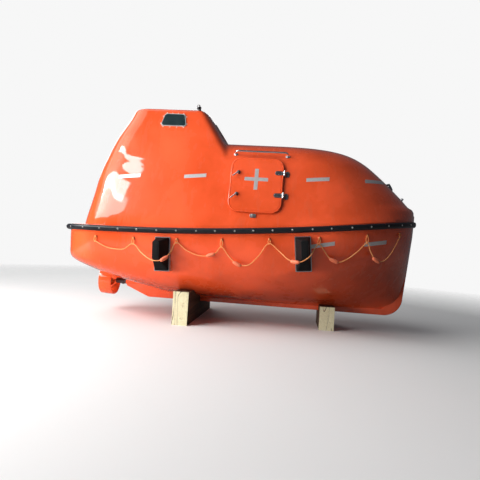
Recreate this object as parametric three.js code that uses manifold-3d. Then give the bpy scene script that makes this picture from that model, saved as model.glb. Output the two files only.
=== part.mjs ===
// Totally enclosed lifeboat, 5 m over its fender, ashore on timber chocks.
// Millimetres. X forward, Y to port, Z up. The origin is on the floor below the middle of the boat.
import * as THREE from 'three'
import { mergeVertices } from 'three/addons/utils/BufferGeometryUtils.js'
import Module from 'manifold-3d'

const wasm = await Module()
wasm.setup()

// Driving dimensions
const HALF_LENGTH = 2485
const HALF_BEAM = 1100
const KEEL_Z = 235
const FENDER_PROUD = 55
const FENDER_HALF_HEIGHT = 39
const SHELL_STERN = -HALF_LENGTH + FENDER_PROUD
const FENDER_PROUD_AT_BOW = 35
const SHELL_BOW = HALF_LENGTH - FENDER_PROUD_AT_BOW
const SHELL_BEAM = HALF_BEAM - FENDER_PROUD
const SHEER_MID = 1302
const SHEER_SLOPE = 0.0673
const SHEER_CURVE = 1.58e-5
const HULL_WALL = 75
const CANOPY_WALL = 50
const CABIN_FLOOR_Z = 545
const GAP = 0.4
const RUNNING_GAP = 8

// The level line at which hull and canopy meet
const RIM = {
  stern: SHELL_STERN,
  crown: 42,
  bow: SHELL_BOW,
  breadth: SHELL_BEAM,
  quarter: 490,
  shoulder: 1177,
  full: 2,
}

// The canopy side leans inwards in one plane, from SIDE_FOOT_Z up to the roof's shoulder and the tower's top.
const SIDE_FOOT_Z = 1470
const SIDE_FOOT_Y = 1012
const SIDE_SLOPE = 0.288
const SIDE_LEAN = Math.atan(SIDE_SLOPE)

const ORANGE = new THREE.MeshStandardMaterial({ color: 0xe65a2e, roughness: 0.25, metalness: 0 })
const CREAM = new THREE.MeshStandardMaterial({ color: 0xdedbd0, roughness: 0.5, metalness: 0 })
const BLACK_RUBBER = new THREE.MeshStandardMaterial({ color: 0x17181a, roughness: 0.75, metalness: 0 })
const GALVANISED = new THREE.MeshStandardMaterial({ color: 0x8d9196, roughness: 0.5, metalness: 0.8 })
const STAINLESS = new THREE.MeshStandardMaterial({ color: 0xc8cace, roughness: 0.25, metalness: 1 })
const BRONZE = new THREE.MeshStandardMaterial({ color: 0x8c6a35, roughness: 0.35, metalness: 1 })
const IRON = new THREE.MeshStandardMaterial({ color: 0x4b5a52, roughness: 0.6, metalness: 0.4 })
const TINTED = new THREE.MeshStandardMaterial({ color: 0x2d4144, roughness: 0.1, metalness: 0 })
const TIMBER = new THREE.MeshStandardMaterial({ color: 0xe6dfc2, roughness: 0.85, metalness: 0 })
const ROPE = new THREE.MeshStandardMaterial({ color: 0xf0a055, roughness: 0.8, metalness: 0 })
const BLACK_PLASTIC = new THREE.MeshStandardMaterial({ color: 0x1a1a1a, roughness: 0.4, metalness: 0 })

const group = new THREE.Group()

function add(name, geometry, material) {
  const mesh = new THREE.Mesh(geometry, material)
  mesh.name = name
  group.add(mesh)
  return mesh
}

// The same piece on both sides: starboard as drawn, at -Y, and port as its mirror image.
function mirrored(geometry) {
  const copy = mergeVertices(bare(geometry), 1e-4)
  const position = copy.attributes.position
  for (let i = 0; i < position.count; i++) position.setY(i, -position.getY(i))
  const index = copy.index.array
  for (let i = 0; i < index.length; i += 3) {
    const first = index[i]
    index[i] = index[i + 1]
    index[i + 1] = first
  }
  return copy
}

function addPair(name, geometry, material) {
  add(`${name}_starboard`, geometry, material)
  add(`${name}_port`, mirrored(geometry), material)
}

// Solids and meshes
function bare(geometry) {
  const copy = geometry.clone()
  copy.deleteAttribute('normal')
  copy.deleteAttribute('uv')
  return copy
}

function solid(geometry) {
  const merged = mergeVertices(bare(geometry), 1e-3)
  return new wasm.Manifold(new wasm.Mesh({
    numProp: 3,
    vertProperties: new Float32Array(merged.attributes.position.array),
    triVerts: new Uint32Array(merged.index.array),
  }))
}

function meshOf(body) {
  const { vertProperties, triVerts } = body.getMesh()
  const geometry = new THREE.BufferGeometry()
  geometry.setAttribute('position', new THREE.BufferAttribute(new Float32Array(vertProperties), 3))
  geometry.setIndex(new THREE.BufferAttribute(new Uint32Array(triVerts), 1))
  return geometry
}

function join(...bodies) {
  return bodies.reduce((sum, body) => sum.add(body))
}

function block(low, high) {
  const size = high.map((value, i) => value - low[i])
  const middle = high.map((value, i) => (value + low[i]) / 2)
  return solid(new THREE.BoxGeometry(...size).translate(...middle))
}

// A round bar from one point to another.
function barGeometry(from, to, radius, sides = 12, endRadius = radius) {
  const start = new THREE.Vector3(...from)
  const end = new THREE.Vector3(...to)
  const along = end.clone().sub(start)
  const bar = new THREE.CylinderGeometry(endRadius, radius, along.length(), sides)
  const turn = new THREE.Quaternion().setFromUnitVectors(new THREE.Vector3(0, 1, 0), along.clone().normalize())
  bar.applyQuaternion(turn)
  return bar.translate(...start.add(end).multiplyScalar(0.5).toArray())
}

const bar = (...parts) => solid(barGeometry(...parts))

function roundedRectangle(width, height, radius, cx = 0, cy = 0) {
  const x = cx - width / 2
  const y = cy - height / 2
  const shape = new THREE.Shape()
  shape.moveTo(x + radius, y)
  shape.lineTo(x + width - radius, y)
  shape.absarc(x + width - radius, y + radius, radius, -Math.PI / 2, 0)
  shape.lineTo(x + width, y + height - radius)
  shape.absarc(x + width - radius, y + height - radius, radius, 0, Math.PI / 2)
  shape.lineTo(x + radius, y + height)
  shape.absarc(x + radius, y + height - radius, radius, Math.PI / 2, Math.PI)
  shape.lineTo(x, y + radius)
  shape.absarc(x + radius, y + radius, radius, Math.PI, Math.PI * 1.5)
  return shape
}

function plate(shape, from, to, frame, curveSegments = 4) {
  const geometry = new THREE.ExtrudeGeometry(shape, { depth: to - from, bevelEnabled: false, curveSegments })
  geometry.translate(0, 0, from)
  if (frame) geometry.applyMatrix4(frame)
  return geometry
}

// Level lines: the boat's outline seen from above at one height
const TRANSOM_STEPS = 2
const QUARTER_STEPS = 5
const SIDE_STEPS = 3
const BOW_STEPS = 9
const QUARTER_SHARE = 0.43

function sheer(x) {
  return SHEER_MID + SHEER_SLOPE * x + SHEER_CURVE * x * x
}

function halfLine({ stern, crown, bow, breadth, quarter, shoulder, full }) {
  const line = [[stern, 0]]
  const quarterBreadth = breadth * QUARTER_SHARE
  for (let i = 1; i <= TRANSOM_STEPS; i++) {
    const share = i / TRANSOM_STEPS
    line.push([stern + crown * share * share, (breadth - quarterBreadth) * share])
  }
  for (let i = 1; i <= QUARTER_STEPS; i++) {
    const turn = i / QUARTER_STEPS * Math.PI / 2
    const x = stern + crown + quarter * (1 - Math.cos(turn))
    line.push([x, breadth - quarterBreadth * (1 - Math.sin(turn))])
  }
  const sideStart = stern + crown + quarter
  for (let i = 1; i <= SIDE_STEPS; i++) {
    line.push([sideStart + (shoulder - sideStart) * i / SIDE_STEPS, breadth])
  }
  for (let i = 1; i <= BOW_STEPS; i++) {
    const turn = i / BOW_STEPS * Math.PI / 2
    const reach = Math.sin(turn) ** (2 / full)
    const width = i === BOW_STEPS ? 0 : Math.cos(turn) ** (2 / full)
    line.push([shoulder + (bow - shoulder) * reach, breadth * width])
  }
  return line
}

function ringOf(level) {
  const half = halfLine(level)
  const place = (x, y) => {
    const z = level.height(x)
    return [x, y * (level.narrow ? level.narrow(z) : 1), z]
  }
  const starboard = half.map(([x, y]) => place(x, -y))
  const port = half.slice(1, -1).reverse().map(([x, y]) => place(x, y))
  return [...starboard, ...port]
}

// Skins a stack of rings, lowest first, and closes it below and above with strips from side to side.
function loft(rings) {
  const count = rings[0].length
  const last = (rings.length - 1) * count
  const index = []
  for (let r = 0; r < rings.length - 1; r++) {
    for (let j = 0; j < count; j++) {
      const next = (j + 1) % count
      const low = r * count
      const high = low + count
      const [a, b, c, d] = [low + j, low + next, high + next, high + j]
      if (j < count / 2) index.push(a, b, c, a, c, d)
      else index.push(a, b, d, b, c, d)
    }
  }
  const cap = (base, a, b, c) => {
    if (base) index.push(base + a, base + b, base + c)
    else index.push(a, c, b)
  }
  for (const base of [0, last]) {
    cap(base, 0, 1, count - 1)
    for (let j = 1; j < count / 2 - 1; j++) {
      cap(base, j, j + 1, count - j - 1)
      cap(base, j, count - j - 1, count - j)
    }
    cap(base, count / 2 - 1, count / 2, count / 2 + 1)
  }
  const geometry = new THREE.BufferGeometry()
  geometry.setAttribute('position', new THREE.Float32BufferAttribute(rings.flat(2), 3))
  geometry.setIndex(index)
  return geometry
}

// Hull levels. share: height as a share of the way from the keel's foot up to the sheer. crown: how far
// forward of the middle of the stern its quarters start, less than 0 where the bottom is hollow.
const HULL_TABLE = [
  // share, stern, crown, bow, breadth, quarter, shoulder, full
  [0.05, -720, 2, 2090, 40, 600, -160, 1.3],
  [0.075, -860, 6, 2210, 150, 700, -160, 1.25],
  [0.12, -1080, 0, 2280, 330, 750, -60, 1.3],
  [0.19, -1300, -20, 2330, 530, 800, 40, 1.4],
  [0.28, -1530, -90, 2370, 715, 800, 190, 1.5],
  [0.4, -1800, -200, 2395, 870, 650, 390, 1.6],
  [0.5, -2060, -180, 2410, 950, 550, 590, 1.7],
  [0.6, -2310, -70, 2420, 995, 500, 790, 1.8],
  [0.72, SHELL_STERN, 42, 2430, 1025, 490, 990, 1.9],
  [0.96, SHELL_STERN, 42, SHELL_BOW, SHELL_BEAM, 490, 1177, 2],
  [1, SHELL_STERN, 42, SHELL_BOW, SHELL_BEAM, 490, 1177, 2],
]

function hullLevel([share, stern, crown, bow, breadth, quarter, shoulder, full], grow = 0) {
  return {
    stern: stern - grow,
    crown,
    bow: bow + grow,
    breadth: breadth + grow,
    quarter,
    shoulder,
    full,
    height: (x) => KEEL_Z + share * (sheer(x) - KEEL_Z),
  }
}

const CANOPY_CROWN = 0.04

// Canopy levels. follow: the share of the sheer's rise that the level keeps.
const CANOPY_TABLE = [
  // middle height, follow, stern, bow, breadth, quarter, shoulder, full
  [SHEER_MID + GAP, 1, SHELL_STERN, SHELL_BOW, SHELL_BEAM, 490, 1177, 2],
  [SHEER_MID + 42, 1, SHELL_STERN, SHELL_BOW, SHELL_BEAM, 490, 1177, 2],
  [SHEER_MID + 50, 1, -2225, SHELL_BOW - 1, SHELL_BEAM - 3, 450, 1177, 2],
  [SIDE_FOOT_Z, 0.97, -2200, SHELL_BOW - 4, SIDE_FOOT_Y, 440, 1167, 2.05],
  [1700, 0.5, -2150, 2340, 946, 430, 1085, 2.1],
  [2000, 0.2, -2095, 2115, 859, 400, 975, 2.2],
  [2280, 0, -1998, 1840, 779, 360, 820, 2.3],
  [2385, 0, -1940, 1700, 712, 330, 720, 2.3],
  [2470, 0, -1850, 1540, 610, 300, 640, 2.3],
  [2532, 0, -1700, 1350, 470, 250, 520, 2.3],
  [2572, 0, -1500, 1140, 300, 200, 420, 2.2],
  [2595, 0, -1200, 870, 120, 100, 220, 2],
]

function sideBreadth(z) {
  return SIDE_FOOT_Y - (z - SIDE_FOOT_Z) * SIDE_SLOPE
}

function canopyLevel([middle, follow, stern, bow, breadth, quarter, shoulder, full], wall = 0, drop = 0) {
  const height = (x) => middle - drop + follow * (sheer(x) - SHEER_MID)
  const onPlane = middle >= SIDE_FOOT_Z && middle <= 2280
  return {
    stern: stern + wall,
    crown: breadth * CANOPY_CROWN,
    bow: bow - wall,
    breadth: breadth - wall,
    quarter,
    shoulder: shoulder - wall / 2,
    full,
    height,
    narrow: onPlane ? (z) => (sideBreadth(z + drop) - wall) / (breadth - wall) : undefined,
  }
}

// Steering tower levels, on the canopy's side plane, with a flat raked front.
const TOWER_TABLE = [
  // height, stern, front, inset of the side, quarter, depth of the front corner
  [1950, -2095, 155, 10, 395, 200],
  [2280, -2001, -85, -3, 360, 200],
  [2520, -1913, -257, 0, 340, 190],
  [2880, -1722, -499, 0, 300, 170],
  [2950, -1693, -550, 6, 280, 150],
  [2984, -1668, -590, 34, 250, 130],
]

function towerLevel([z, stern, front, inset, quarter, corner], wall = 0, drop = 0) {
  return {
    stern: stern + wall,
    crown: sideBreadth(z) * CANOPY_CROWN,
    bow: front - wall,
    breadth: sideBreadth(z) - inset - wall,
    quarter,
    shoulder: front - wall - corner,
    full: 4,
    height: () => z - drop,
  }
}

const stack = (levels) => solid(loft(levels.map(ringOf)))
const hullForm = (grow = 0) => stack(HULL_TABLE.map((row) => hullLevel(row, grow)))

// Cabin space
// The foam under the sole reaches up into the stern by these lengths at the lowest levels.
const STERN_FILL = [120, 170, 130, 40]

// One space from the sole up to the roof and into the tower, taken out of hull and canopy alike.
function cabinSpace(shrink = 0) {
  const wall = HULL_WALL + shrink
  const flat = { ...hullLevel(HULL_TABLE[4], -wall - 20), height: () => CABIN_FLOOR_Z + shrink }
  const lower = HULL_TABLE.slice(5, 9).map((row, i) => {
    const level = hullLevel(row, -wall)
    return { ...level, stern: level.stern + STERN_FILL[i], crown: 0 }
  })
  const skin = CANOPY_WALL + shrink
  const rimRow = CANOPY_TABLE[2]
  const rim = [
    { ...canopyLevel(rimRow, HULL_WALL + shrink), height: (x) => sheer(x) - 60 },
    { ...canopyLevel(rimRow, HULL_WALL + shrink), height: (x) => sheer(x) + 60 },
  ]
  const canopyDrop = (i) => i < 4 ? 0 : skin * (i - 3) / 4
  const upper = CANOPY_TABLE.slice(3, 11).map((row, i) => canopyLevel(row, skin, canopyDrop(i)))
  const towerDrop = (i) => i < 3 ? 0 : skin * (i - 2) / 2
  const tower = TOWER_TABLE.slice(0, 5).map((row, i) => towerLevel(row, skin, towerDrop(i)))
  return join(stack([flat, ...lower, ...rim, ...upper]), stack(tower))
}

// Keel, skeg and stem
const KEEL_THICK = 64
const FOREFOOT_RADIUS = 260
const STEM_FOOT = [2380, KEEL_Z + FOREFOOT_RADIUS]
const STEM_X = HALF_LENGTH - 15
const STEM_TOP = sheer(SHELL_BOW) - FENDER_HALF_HEIGHT - 6

// Forward position and height
const SKEG = [[-1560, 560], [-1825, 560], [-1813, 392], [-1443, KEEL_Z]]
const STEM = [[STEM_X - 4, 1400], [STEM_X, STEM_TOP]]
const KEEL_ROOT = [[2380, STEM_TOP], [2300, 520], [2100, 330], [-960, 330]]

function keelBar() {
  const shape = new THREE.Shape(SKEG.map((point) => new THREE.Vector2(...point)))
  shape.absarc(STEM_FOOT[0] - FOREFOOT_RADIUS, STEM_FOOT[1], FOREFOOT_RADIUS, -Math.PI / 2, 0)
  for (const point of [...STEM, ...KEEL_ROOT]) shape.lineTo(...point)
  const upright = new THREE.Matrix4().makeRotationX(Math.PI / 2)
  return solid(plate(shape, -KEEL_THICK / 2, KEEL_THICK / 2, upright, 6))
}

// Lifeline eyes on the hull side: where the rope is made fast, forward of mid-length in mm.
const EYES = [-1868, -1348, -763, -168, 447, 1077, 1677, 2130]
const EYE_DROP = 112
const EYE_PROUD = 12
const EYE_ROOT = -25
const EYE_RADIUS = 19

// Half-breadth of the shell just under the fender, where the eyes and ropes are.
function shellBreadth(x) {
  const line = halfLine(RIM)
  for (let i = TRANSOM_STEPS; i < line.length - 1; i++) {
    const [x0, y0] = line[i]
    const [x1, y1] = line[i + 1]
    if (x >= x0 && x <= x1) return y0 + (y1 - y0) * (x - x0) / (x1 - x0)
  }
  return 0
}

function outward(x, off) {
  const step = 20
  const slope = (shellBreadth(x + step) - shellBreadth(x - step)) / (2 * step)
  const size = Math.hypot(slope, 1)
  return [x - slope / size * off, shellBreadth(x) + off / size]
}

function eyePlate(x) {
  const [x0, y0] = outward(x, EYE_ROOT)
  const [x1, y1] = outward(x, EYE_PROUD)
  const z = sheer(x) - EYE_DROP
  return bar([x0, -y0, z], [x1, -y1, z], EYE_RADIUS, 10)
}

// Rudder stock and shaft
const PROP_X = -2038
const SHAFT_Z = 450
const STOCK_RADIUS = 20
const SHAFT_RADIUS = 17
const STOCK_TOP = 775
const STOCK_HOLE_FOOT = 600
const TUBE_RADIUS = 42
const TUBE_AFT = -1925
const TUBE_FORE = -1533
const TUBE_HOLE_AFT = -1863

const cabin = cabinSpace()
const eyes = EYES.map(eyePlate)
const eyesPort = EYES.map((x) => solid(mirrored(meshOf(eyePlate(x)))))
const stockHole = bar([PROP_X, 0, STOCK_HOLE_FOOT], [PROP_X, 0, STOCK_TOP + 6], STOCK_RADIUS + 2, 20)
const tubeHole = bar([TUBE_HOLE_AFT, 0, SHAFT_Z], [TUBE_FORE + 10, 0, SHAFT_Z], TUBE_RADIUS + GAP, 20)
const hullSolid = join(hullForm(), keelBar(), ...eyes, ...eyesPort)
add('hull', meshOf(hullSolid.subtract(cabin).subtract(stockHole).subtract(tubeHole)), ORANGE)

// Side doors
const DOOR_X = 220
const DOOR_Z = 1925
const DOOR_WIDTH = 700
const DOOR_HEIGHT = 775
const DOOR_CORNER = 140
const DOOR_LAP = 32
const DOOR_LIFT = 6
const DOOR_FACE = 32

// Frames on the canopy's starboard side: x forward, y up the slope, z outwards.
function sideFrame(x, z) {
  const up = new THREE.Vector3(0, Math.sin(SIDE_LEAN), Math.cos(SIDE_LEAN))
  const out = new THREE.Vector3(0, -Math.cos(SIDE_LEAN), Math.sin(SIDE_LEAN))
  return new THREE.Matrix4().makeBasis(new THREE.Vector3(1, 0, 0), up, out).setPosition(x, -sideBreadth(z), z)
}

const doorFrame = sideFrame(DOOR_X, DOOR_Z)

function doorRectangle(margin) {
  return roundedRectangle(DOOR_WIDTH - 2 * margin, DOOR_HEIGHT - 2 * margin, DOOR_CORNER - margin)
}

// How far a cutter reaches into the canopy and out of it
const CUT_IN = -90
const CUT_OUT = 60
const RAKED_CUT_IN = -120
const doorOpening = plate(doorRectangle(DOOR_LAP), CUT_IN, CUT_OUT, doorFrame)

function doorPanel() {
  const face = plate(doorRectangle(0), DOOR_LIFT, DOOR_FACE)
  const plug = plate(doorRectangle(DOOR_LAP + RUNNING_GAP), -CANOPY_WALL + 4, DOOR_LIFT + 1)
  return meshOf(join(solid(face), solid(plug))).applyMatrix4(doorFrame)
}

addPair('door', doorPanel(), ORANGE)

// Door hinges: a leaf on the canopy with the lower knuckle, a strap on the door with the upper one.
const HINGE_HEIGHTS = { upper: 175, lower: -140 }
const HINGE_U = DOOR_WIDTH / 2 + 12
const HINGE_N = 42
const KNUCKLE_RADIUS = 10
const KNUCKLE_LENGTH = 38
const HINGE_PLATE = 7
const LEAF = { width: 60, height: 84, corner: 16, u: HINGE_U + 38 }
const STRAP = { width: 110, height: 60, corner: 16, u: HINGE_U - 68 }

function hingeLeaf(v) {
  const outline = roundedRectangle(LEAF.width, LEAF.height, LEAF.corner, LEAF.u, v)
  const leaf = solid(plate(outline, GAP, HINGE_PLATE))
  const web = block([HINGE_U - 8, v - KNUCKLE_LENGTH, 4], [HINGE_U + 30, v - 1, HINGE_N])
  const knuckle = bar([HINGE_U, v - KNUCKLE_LENGTH, HINGE_N], [HINGE_U, v - 1, HINGE_N], KNUCKLE_RADIUS)
  const relief = block([HINGE_U - 30, v - 60, 0], [HINGE_U - 3, v + 60, HINGE_N - 3])
  return meshOf(join(leaf, web.subtract(relief), knuckle)).applyMatrix4(doorFrame)
}

function hingeStrap(v) {
  const outline = roundedRectangle(STRAP.width, STRAP.height, STRAP.corner, STRAP.u, v)
  const strap = solid(plate(outline, DOOR_FACE + GAP, DOOR_FACE + HINGE_PLATE - 1))
  const neck = block([HINGE_U - 20, v + 1, DOOR_FACE + 1], [HINGE_U, v + 30, HINGE_N])
  const knuckle = bar([HINGE_U, v + 1, HINGE_N], [HINGE_U, v + KNUCKLE_LENGTH, HINGE_N], KNUCKLE_RADIUS)
  return meshOf(join(strap, neck, knuckle)).applyMatrix4(doorFrame)
}

for (const [place, v] of Object.entries(HINGE_HEIGHTS)) {
  addPair(`door_hinge_${place}`, hingeLeaf(v), STAINLESS)
  addPair(`door_strap_${place}`, hingeStrap(v), STAINLESS)
}

// Door handles: a boss and a lever that points down and aft.
const HANDLE_U = -245
const HANDLE_HEIGHTS = { upper: 165, lower: -145 }
const BOSS = { radius: 20, proud: 34 }
const LEVER = { turn: THREE.MathUtils.degToRad(-135), length: 105, radius: 11, endRadius: 8, rise: 18 }

function doorHandle(v) {
  const boss = bar([HANDLE_U, v, DOOR_FACE + GAP], [HANDLE_U, v, DOOR_FACE + BOSS.proud], BOSS.radius)
  const start = [HANDLE_U, v, DOOR_FACE + BOSS.proud - 8]
  const reach = [Math.cos(LEVER.turn) * LEVER.length, Math.sin(LEVER.turn) * LEVER.length, LEVER.rise]
  const end = start.map((value, i) => value + reach[i])
  const lever = bar(start, end, LEVER.radius, 10, LEVER.endRadius)
  return meshOf(join(boss, lever)).applyMatrix4(doorFrame)
}

for (const [place, v] of Object.entries(HANDLE_HEIGHTS)) {
  addPair(`door_handle_${place}`, doorHandle(v), STAINLESS)
}

// Door stop under the door: a knob on a plate.
const STOP = { u: -10, v: -428, width: 80, height: 50, corner: 14, thick: 10, radius: 16, proud: 40 }
const doorStop = join(
  solid(plate(roundedRectangle(STOP.width, STOP.height, STOP.corner, STOP.u, STOP.v), GAP, STOP.thick)),
  bar([STOP.u, STOP.v, STOP.thick / 2], [STOP.u, STOP.v, STOP.proud], STOP.radius),
)
addPair('door_stop', meshOf(doorStop).applyMatrix4(doorFrame), GALVANISED)

// Handrail above the door
const RAIL_RADIUS = 12.5
const RAIL_AFT = -93
const RAIL_FORE = 610
const RAIL_FOOT = [-720, 2338]
const RAIL_SHOULDER = [-806, 2376]
const RAIL_TOP = [-812, 2386]
const RAIL_BEND = 40

function handrail() {
  const posts = [[RAIL_AFT, RAIL_BEND], [RAIL_FORE, -RAIL_BEND]].flatMap(([x, bend]) => [
    bar([x, ...RAIL_FOOT], [x, ...RAIL_SHOULDER], RAIL_RADIUS),
    bar([x, ...RAIL_SHOULDER], [x + bend, ...RAIL_TOP], RAIL_RADIUS),
  ])
  const overlap = RAIL_BEND - 5
  const rail = bar([RAIL_AFT + overlap, ...RAIL_TOP], [RAIL_FORE - overlap, ...RAIL_TOP], RAIL_RADIUS)
  return join(...posts, rail)
}

// Tower windows: the pane lies over its opening, on the tower's flat faces.
const PANE_LAP = 16
const PANE_THICK = 12

const WINDOW_CORNER = 30
const WINDOW_FLARE = 4

function windowShape(bottom, top, height, shift, margin) {
  const shape = new THREE.Shape()
  const low = -height / 2 - margin
  const high = height / 2 + margin
  const foot = bottom / 2 + margin
  const headFore = top / 2 + margin + shift
  const headAft = -top / 2 - margin + shift
  const flare = shift * 0.1
  shape.moveTo(-foot + WINDOW_CORNER, low)
  shape.lineTo(foot - WINDOW_CORNER, low)
  shape.quadraticCurveTo(foot, low, foot - WINDOW_FLARE + flare, low + WINDOW_CORNER)
  shape.lineTo(headFore, high - WINDOW_CORNER)
  shape.quadraticCurveTo(headFore, high, headFore - WINDOW_CORNER, high)
  shape.lineTo(headAft + WINDOW_CORNER, high)
  shape.quadraticCurveTo(headAft, high, headAft, high - WINDOW_CORNER)
  shape.lineTo(-foot + WINDOW_FLARE + flare, low + WINDOW_CORNER)
  shape.quadraticCurveTo(-foot, low, -foot + WINDOW_CORNER, low)
  return shape
}

const SIDE_WINDOW = { bottom: 340, top: 262, height: 166, shift: 6 }
const sideWindowFrame = sideFrame(-1013, 2815)

// Frames across the tower's raked front and aft faces: x to the side, y up the rake, z outwards.
function rakedFrame(lowX, lowZ, highX, highZ, direction) {
  const rake = new THREE.Vector3(highX - lowX, 0, highZ - lowZ).normalize()
  const across = new THREE.Vector3(0, direction, 0)
  const out = across.clone().cross(rake)
  return new THREE.Matrix4().makeBasis(across, rake, out).setPosition((lowX + highX) / 2, 0, (lowZ + highZ) / 2)
}

const FRONT_WINDOW = { bottom: 640, top: 600, height: 190, shift: 0 }
const frontWindowFrame = rakedFrame(-338, 2640, -499, 2880, 1)
const AFT_WINDOW = { bottom: 560, top: 500, height: 190, shift: 0 }
const aftWindowFrame = rakedFrame(-1913, 2520, -1722, 2880, -1)

function windowSolid({ bottom, top, height, shift }, frame, margin, from, to) {
  return plate(windowShape(bottom, top, height, shift, margin), from, to, frame, 4)
}

addPair('tower_window_side', windowSolid(SIDE_WINDOW, sideWindowFrame, PANE_LAP, GAP, PANE_THICK), TINTED)
add('tower_window_front', windowSolid(FRONT_WINDOW, frontWindowFrame, PANE_LAP, GAP, PANE_THICK), TINTED)
add('tower_window_aft', windowSolid(AFT_WINDOW, aftWindowFrame, PANE_LAP, GAP, PANE_THICK), TINTED)

const windowOpenings = [
  solid(windowSolid(SIDE_WINDOW, sideWindowFrame, 0, CUT_IN, CUT_OUT)),
  solid(mirrored(windowSolid(SIDE_WINDOW, sideWindowFrame, 0, CUT_IN, CUT_OUT))),
  solid(windowSolid(FRONT_WINDOW, frontWindowFrame, 0, RAKED_CUT_IN, CUT_OUT)),
  solid(windowSolid(AFT_WINDOW, aftWindowFrame, 0, RAKED_CUT_IN, CUT_OUT)),
]

// Hatches at bow and stern: a piece of the canopy's own shell, hinged at its top edge.
const BOW_HATCH = { low: [2340, 1822], high: [2005, 2137], width: 440, height: 340, corner: 90, side: 1 }
const STERN_HATCH = { low: [-2181, 1500], high: [-2067, 2070], width: 520, height: 500, corner: 90, side: -1 }

function hatchFrame({ low, high, side }) {
  return rakedFrame(low[0], low[1], high[0], high[1], side)
}

const HATCH_CUT = 160

function hatchPrism(hatch, margin) {
  const shape = roundedRectangle(hatch.width - 2 * margin, hatch.height - 2 * margin, hatch.corner - margin)
  return solid(plate(shape, -HATCH_CUT, HATCH_CUT, hatchFrame(hatch)))
}

// Canopy shell, and the steering tower, a moulding of its own that is seated on the canopy along a level seam.
const STEM_BAND = { from: 2400, top: 1706 }
const TOWER_SEAM_Z = 2300
const towerForm = (grow) => stack(TOWER_TABLE.map((row) => towerLevel(row, -grow)))
const aboveSeam = (z) => block([SHELL_STERN, -HALF_BEAM, z], [SHELL_BOW, HALF_BEAM, 2 * TOWER_SEAM_Z])
const stemBand = block(
  [STEM_BAND.from, -KEEL_THICK / 2, sheer(STEM_X) + FENDER_HALF_HEIGHT + 4],
  [STEM_X, KEEL_THICK / 2, STEM_BAND.top],
)
const canopyForm = join(stack(CANOPY_TABLE.map((row) => canopyLevel(row))), towerForm(0))
const canopyShell = canopyForm.subtract(cabin)
const towerShell = canopyShell.intersect(towerForm(0)).intersect(aboveSeam(TOWER_SEAM_Z + GAP))
const towerRoom = towerForm(GAP).intersect(aboveSeam(TOWER_SEAM_Z))
const openings = [
  solid(doorOpening),
  solid(mirrored(doorOpening)),
  ...windowOpenings,
  hatchPrism(BOW_HATCH, 0),
  hatchPrism(STERN_HATCH, 0),
]
const opened = (body) => openings.reduce((rest, opening) => rest.subtract(opening), body)
add('canopy', meshOf(opened(join(canopyShell, stemBand).subtract(towerRoom))), ORANGE)
add('steering_tower', meshOf(opened(towerShell)), ORANGE)

// Where a hatch's hinge pin lies, in the hatch's own frame.
const HATCH_PIN_N = 34
const HINGE_CLEARANCE = 9
// Arms of a hatch: the share of its width where they stand, half-width, reach inside its edge and beyond it.
const HATCH_ARM = { share: 0.3, half: 18, inside: 82, beyond: 20, depth: 20 }

function hatchPanel(hatch) {
  const frame = hatchFrame(hatch)
  const panel = canopyShell.intersect(hatchPrism(hatch, RUNNING_GAP))
  const lift = new THREE.Vector3().setFromMatrixColumn(frame, 2).multiplyScalar(HINGE_CLEARANCE)
  const canopyClear = canopyForm.translate(lift.toArray())
  const edge = hatch.height / 2 - RUNNING_GAP
  const { half, inside, beyond, depth } = HATCH_ARM
  const arms = [-HATCH_ARM.share, HATCH_ARM.share].flatMap((share) => {
    const u = hatch.width * share
    const inner = block([u - half, edge - inside, -depth], [u + half, edge, HATCH_PIN_N + 6])
    const outer = block([u - half, edge - 1, -depth], [u + half, edge + beyond, HATCH_PIN_N + 6])
    const placed = [inner, outer].map((arm) => solid(meshOf(arm).applyMatrix4(frame)))
    return [placed[0], placed[1].subtract(canopyClear)]
  })
  return join(panel, ...arms)
}

for (const [name, hatch] of Object.entries({ hatch_bow: BOW_HATCH, hatch_stern: STERN_HATCH })) {
  add(name, meshOf(hatchPanel(hatch)), ORANGE)
}

// Gunwale fender: a D-section rubber all round the seam of hull and canopy.
const FENDER_SECTION = [
  // distance out from the shell, height above the seam
  [1, -FENDER_HALF_HEIGHT],
  [24, -FENDER_HALF_HEIGHT],
  [46, -27],
  [FENDER_PROUD, -8],
  [FENDER_PROUD, 8],
  [46, 27],
  [24, FENDER_HALF_HEIGHT],
  [1, FENDER_HALF_HEIGHT],
]

function fenderRing() {
  const lines = FENDER_SECTION.map(([off, rise]) => ringOf({
    ...RIM,
    stern: RIM.stern - off,
    bow: RIM.bow + off * FENDER_PROUD_AT_BOW / FENDER_PROUD,
    breadth: RIM.breadth + off,
    quarter: RIM.quarter + off,
    height: (x) => sheer(x) + rise,
  }))
  const count = lines[0].length
  const index = []
  for (let s = 0; s < lines.length; s++) {
    const here = s * count
    const above = (s + 1) % lines.length * count
    for (let j = 0; j < count; j++) {
      const next = (j + 1) % count
      index.push(here + j, here + next, above + next, here + j, above + next, above + j)
    }
  }
  const geometry = new THREE.BufferGeometry()
  geometry.setAttribute('position', new THREE.Float32BufferAttribute(lines.flat(2), 3))
  geometry.setIndex(index)
  return geometry
}

add('gunwale_fender', fenderRing(), BLACK_RUBBER)

addPair('handrail', meshOf(handrail().subtract(canopyForm.translate([0, -GAP, GAP]))), STAINLESS)

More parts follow.
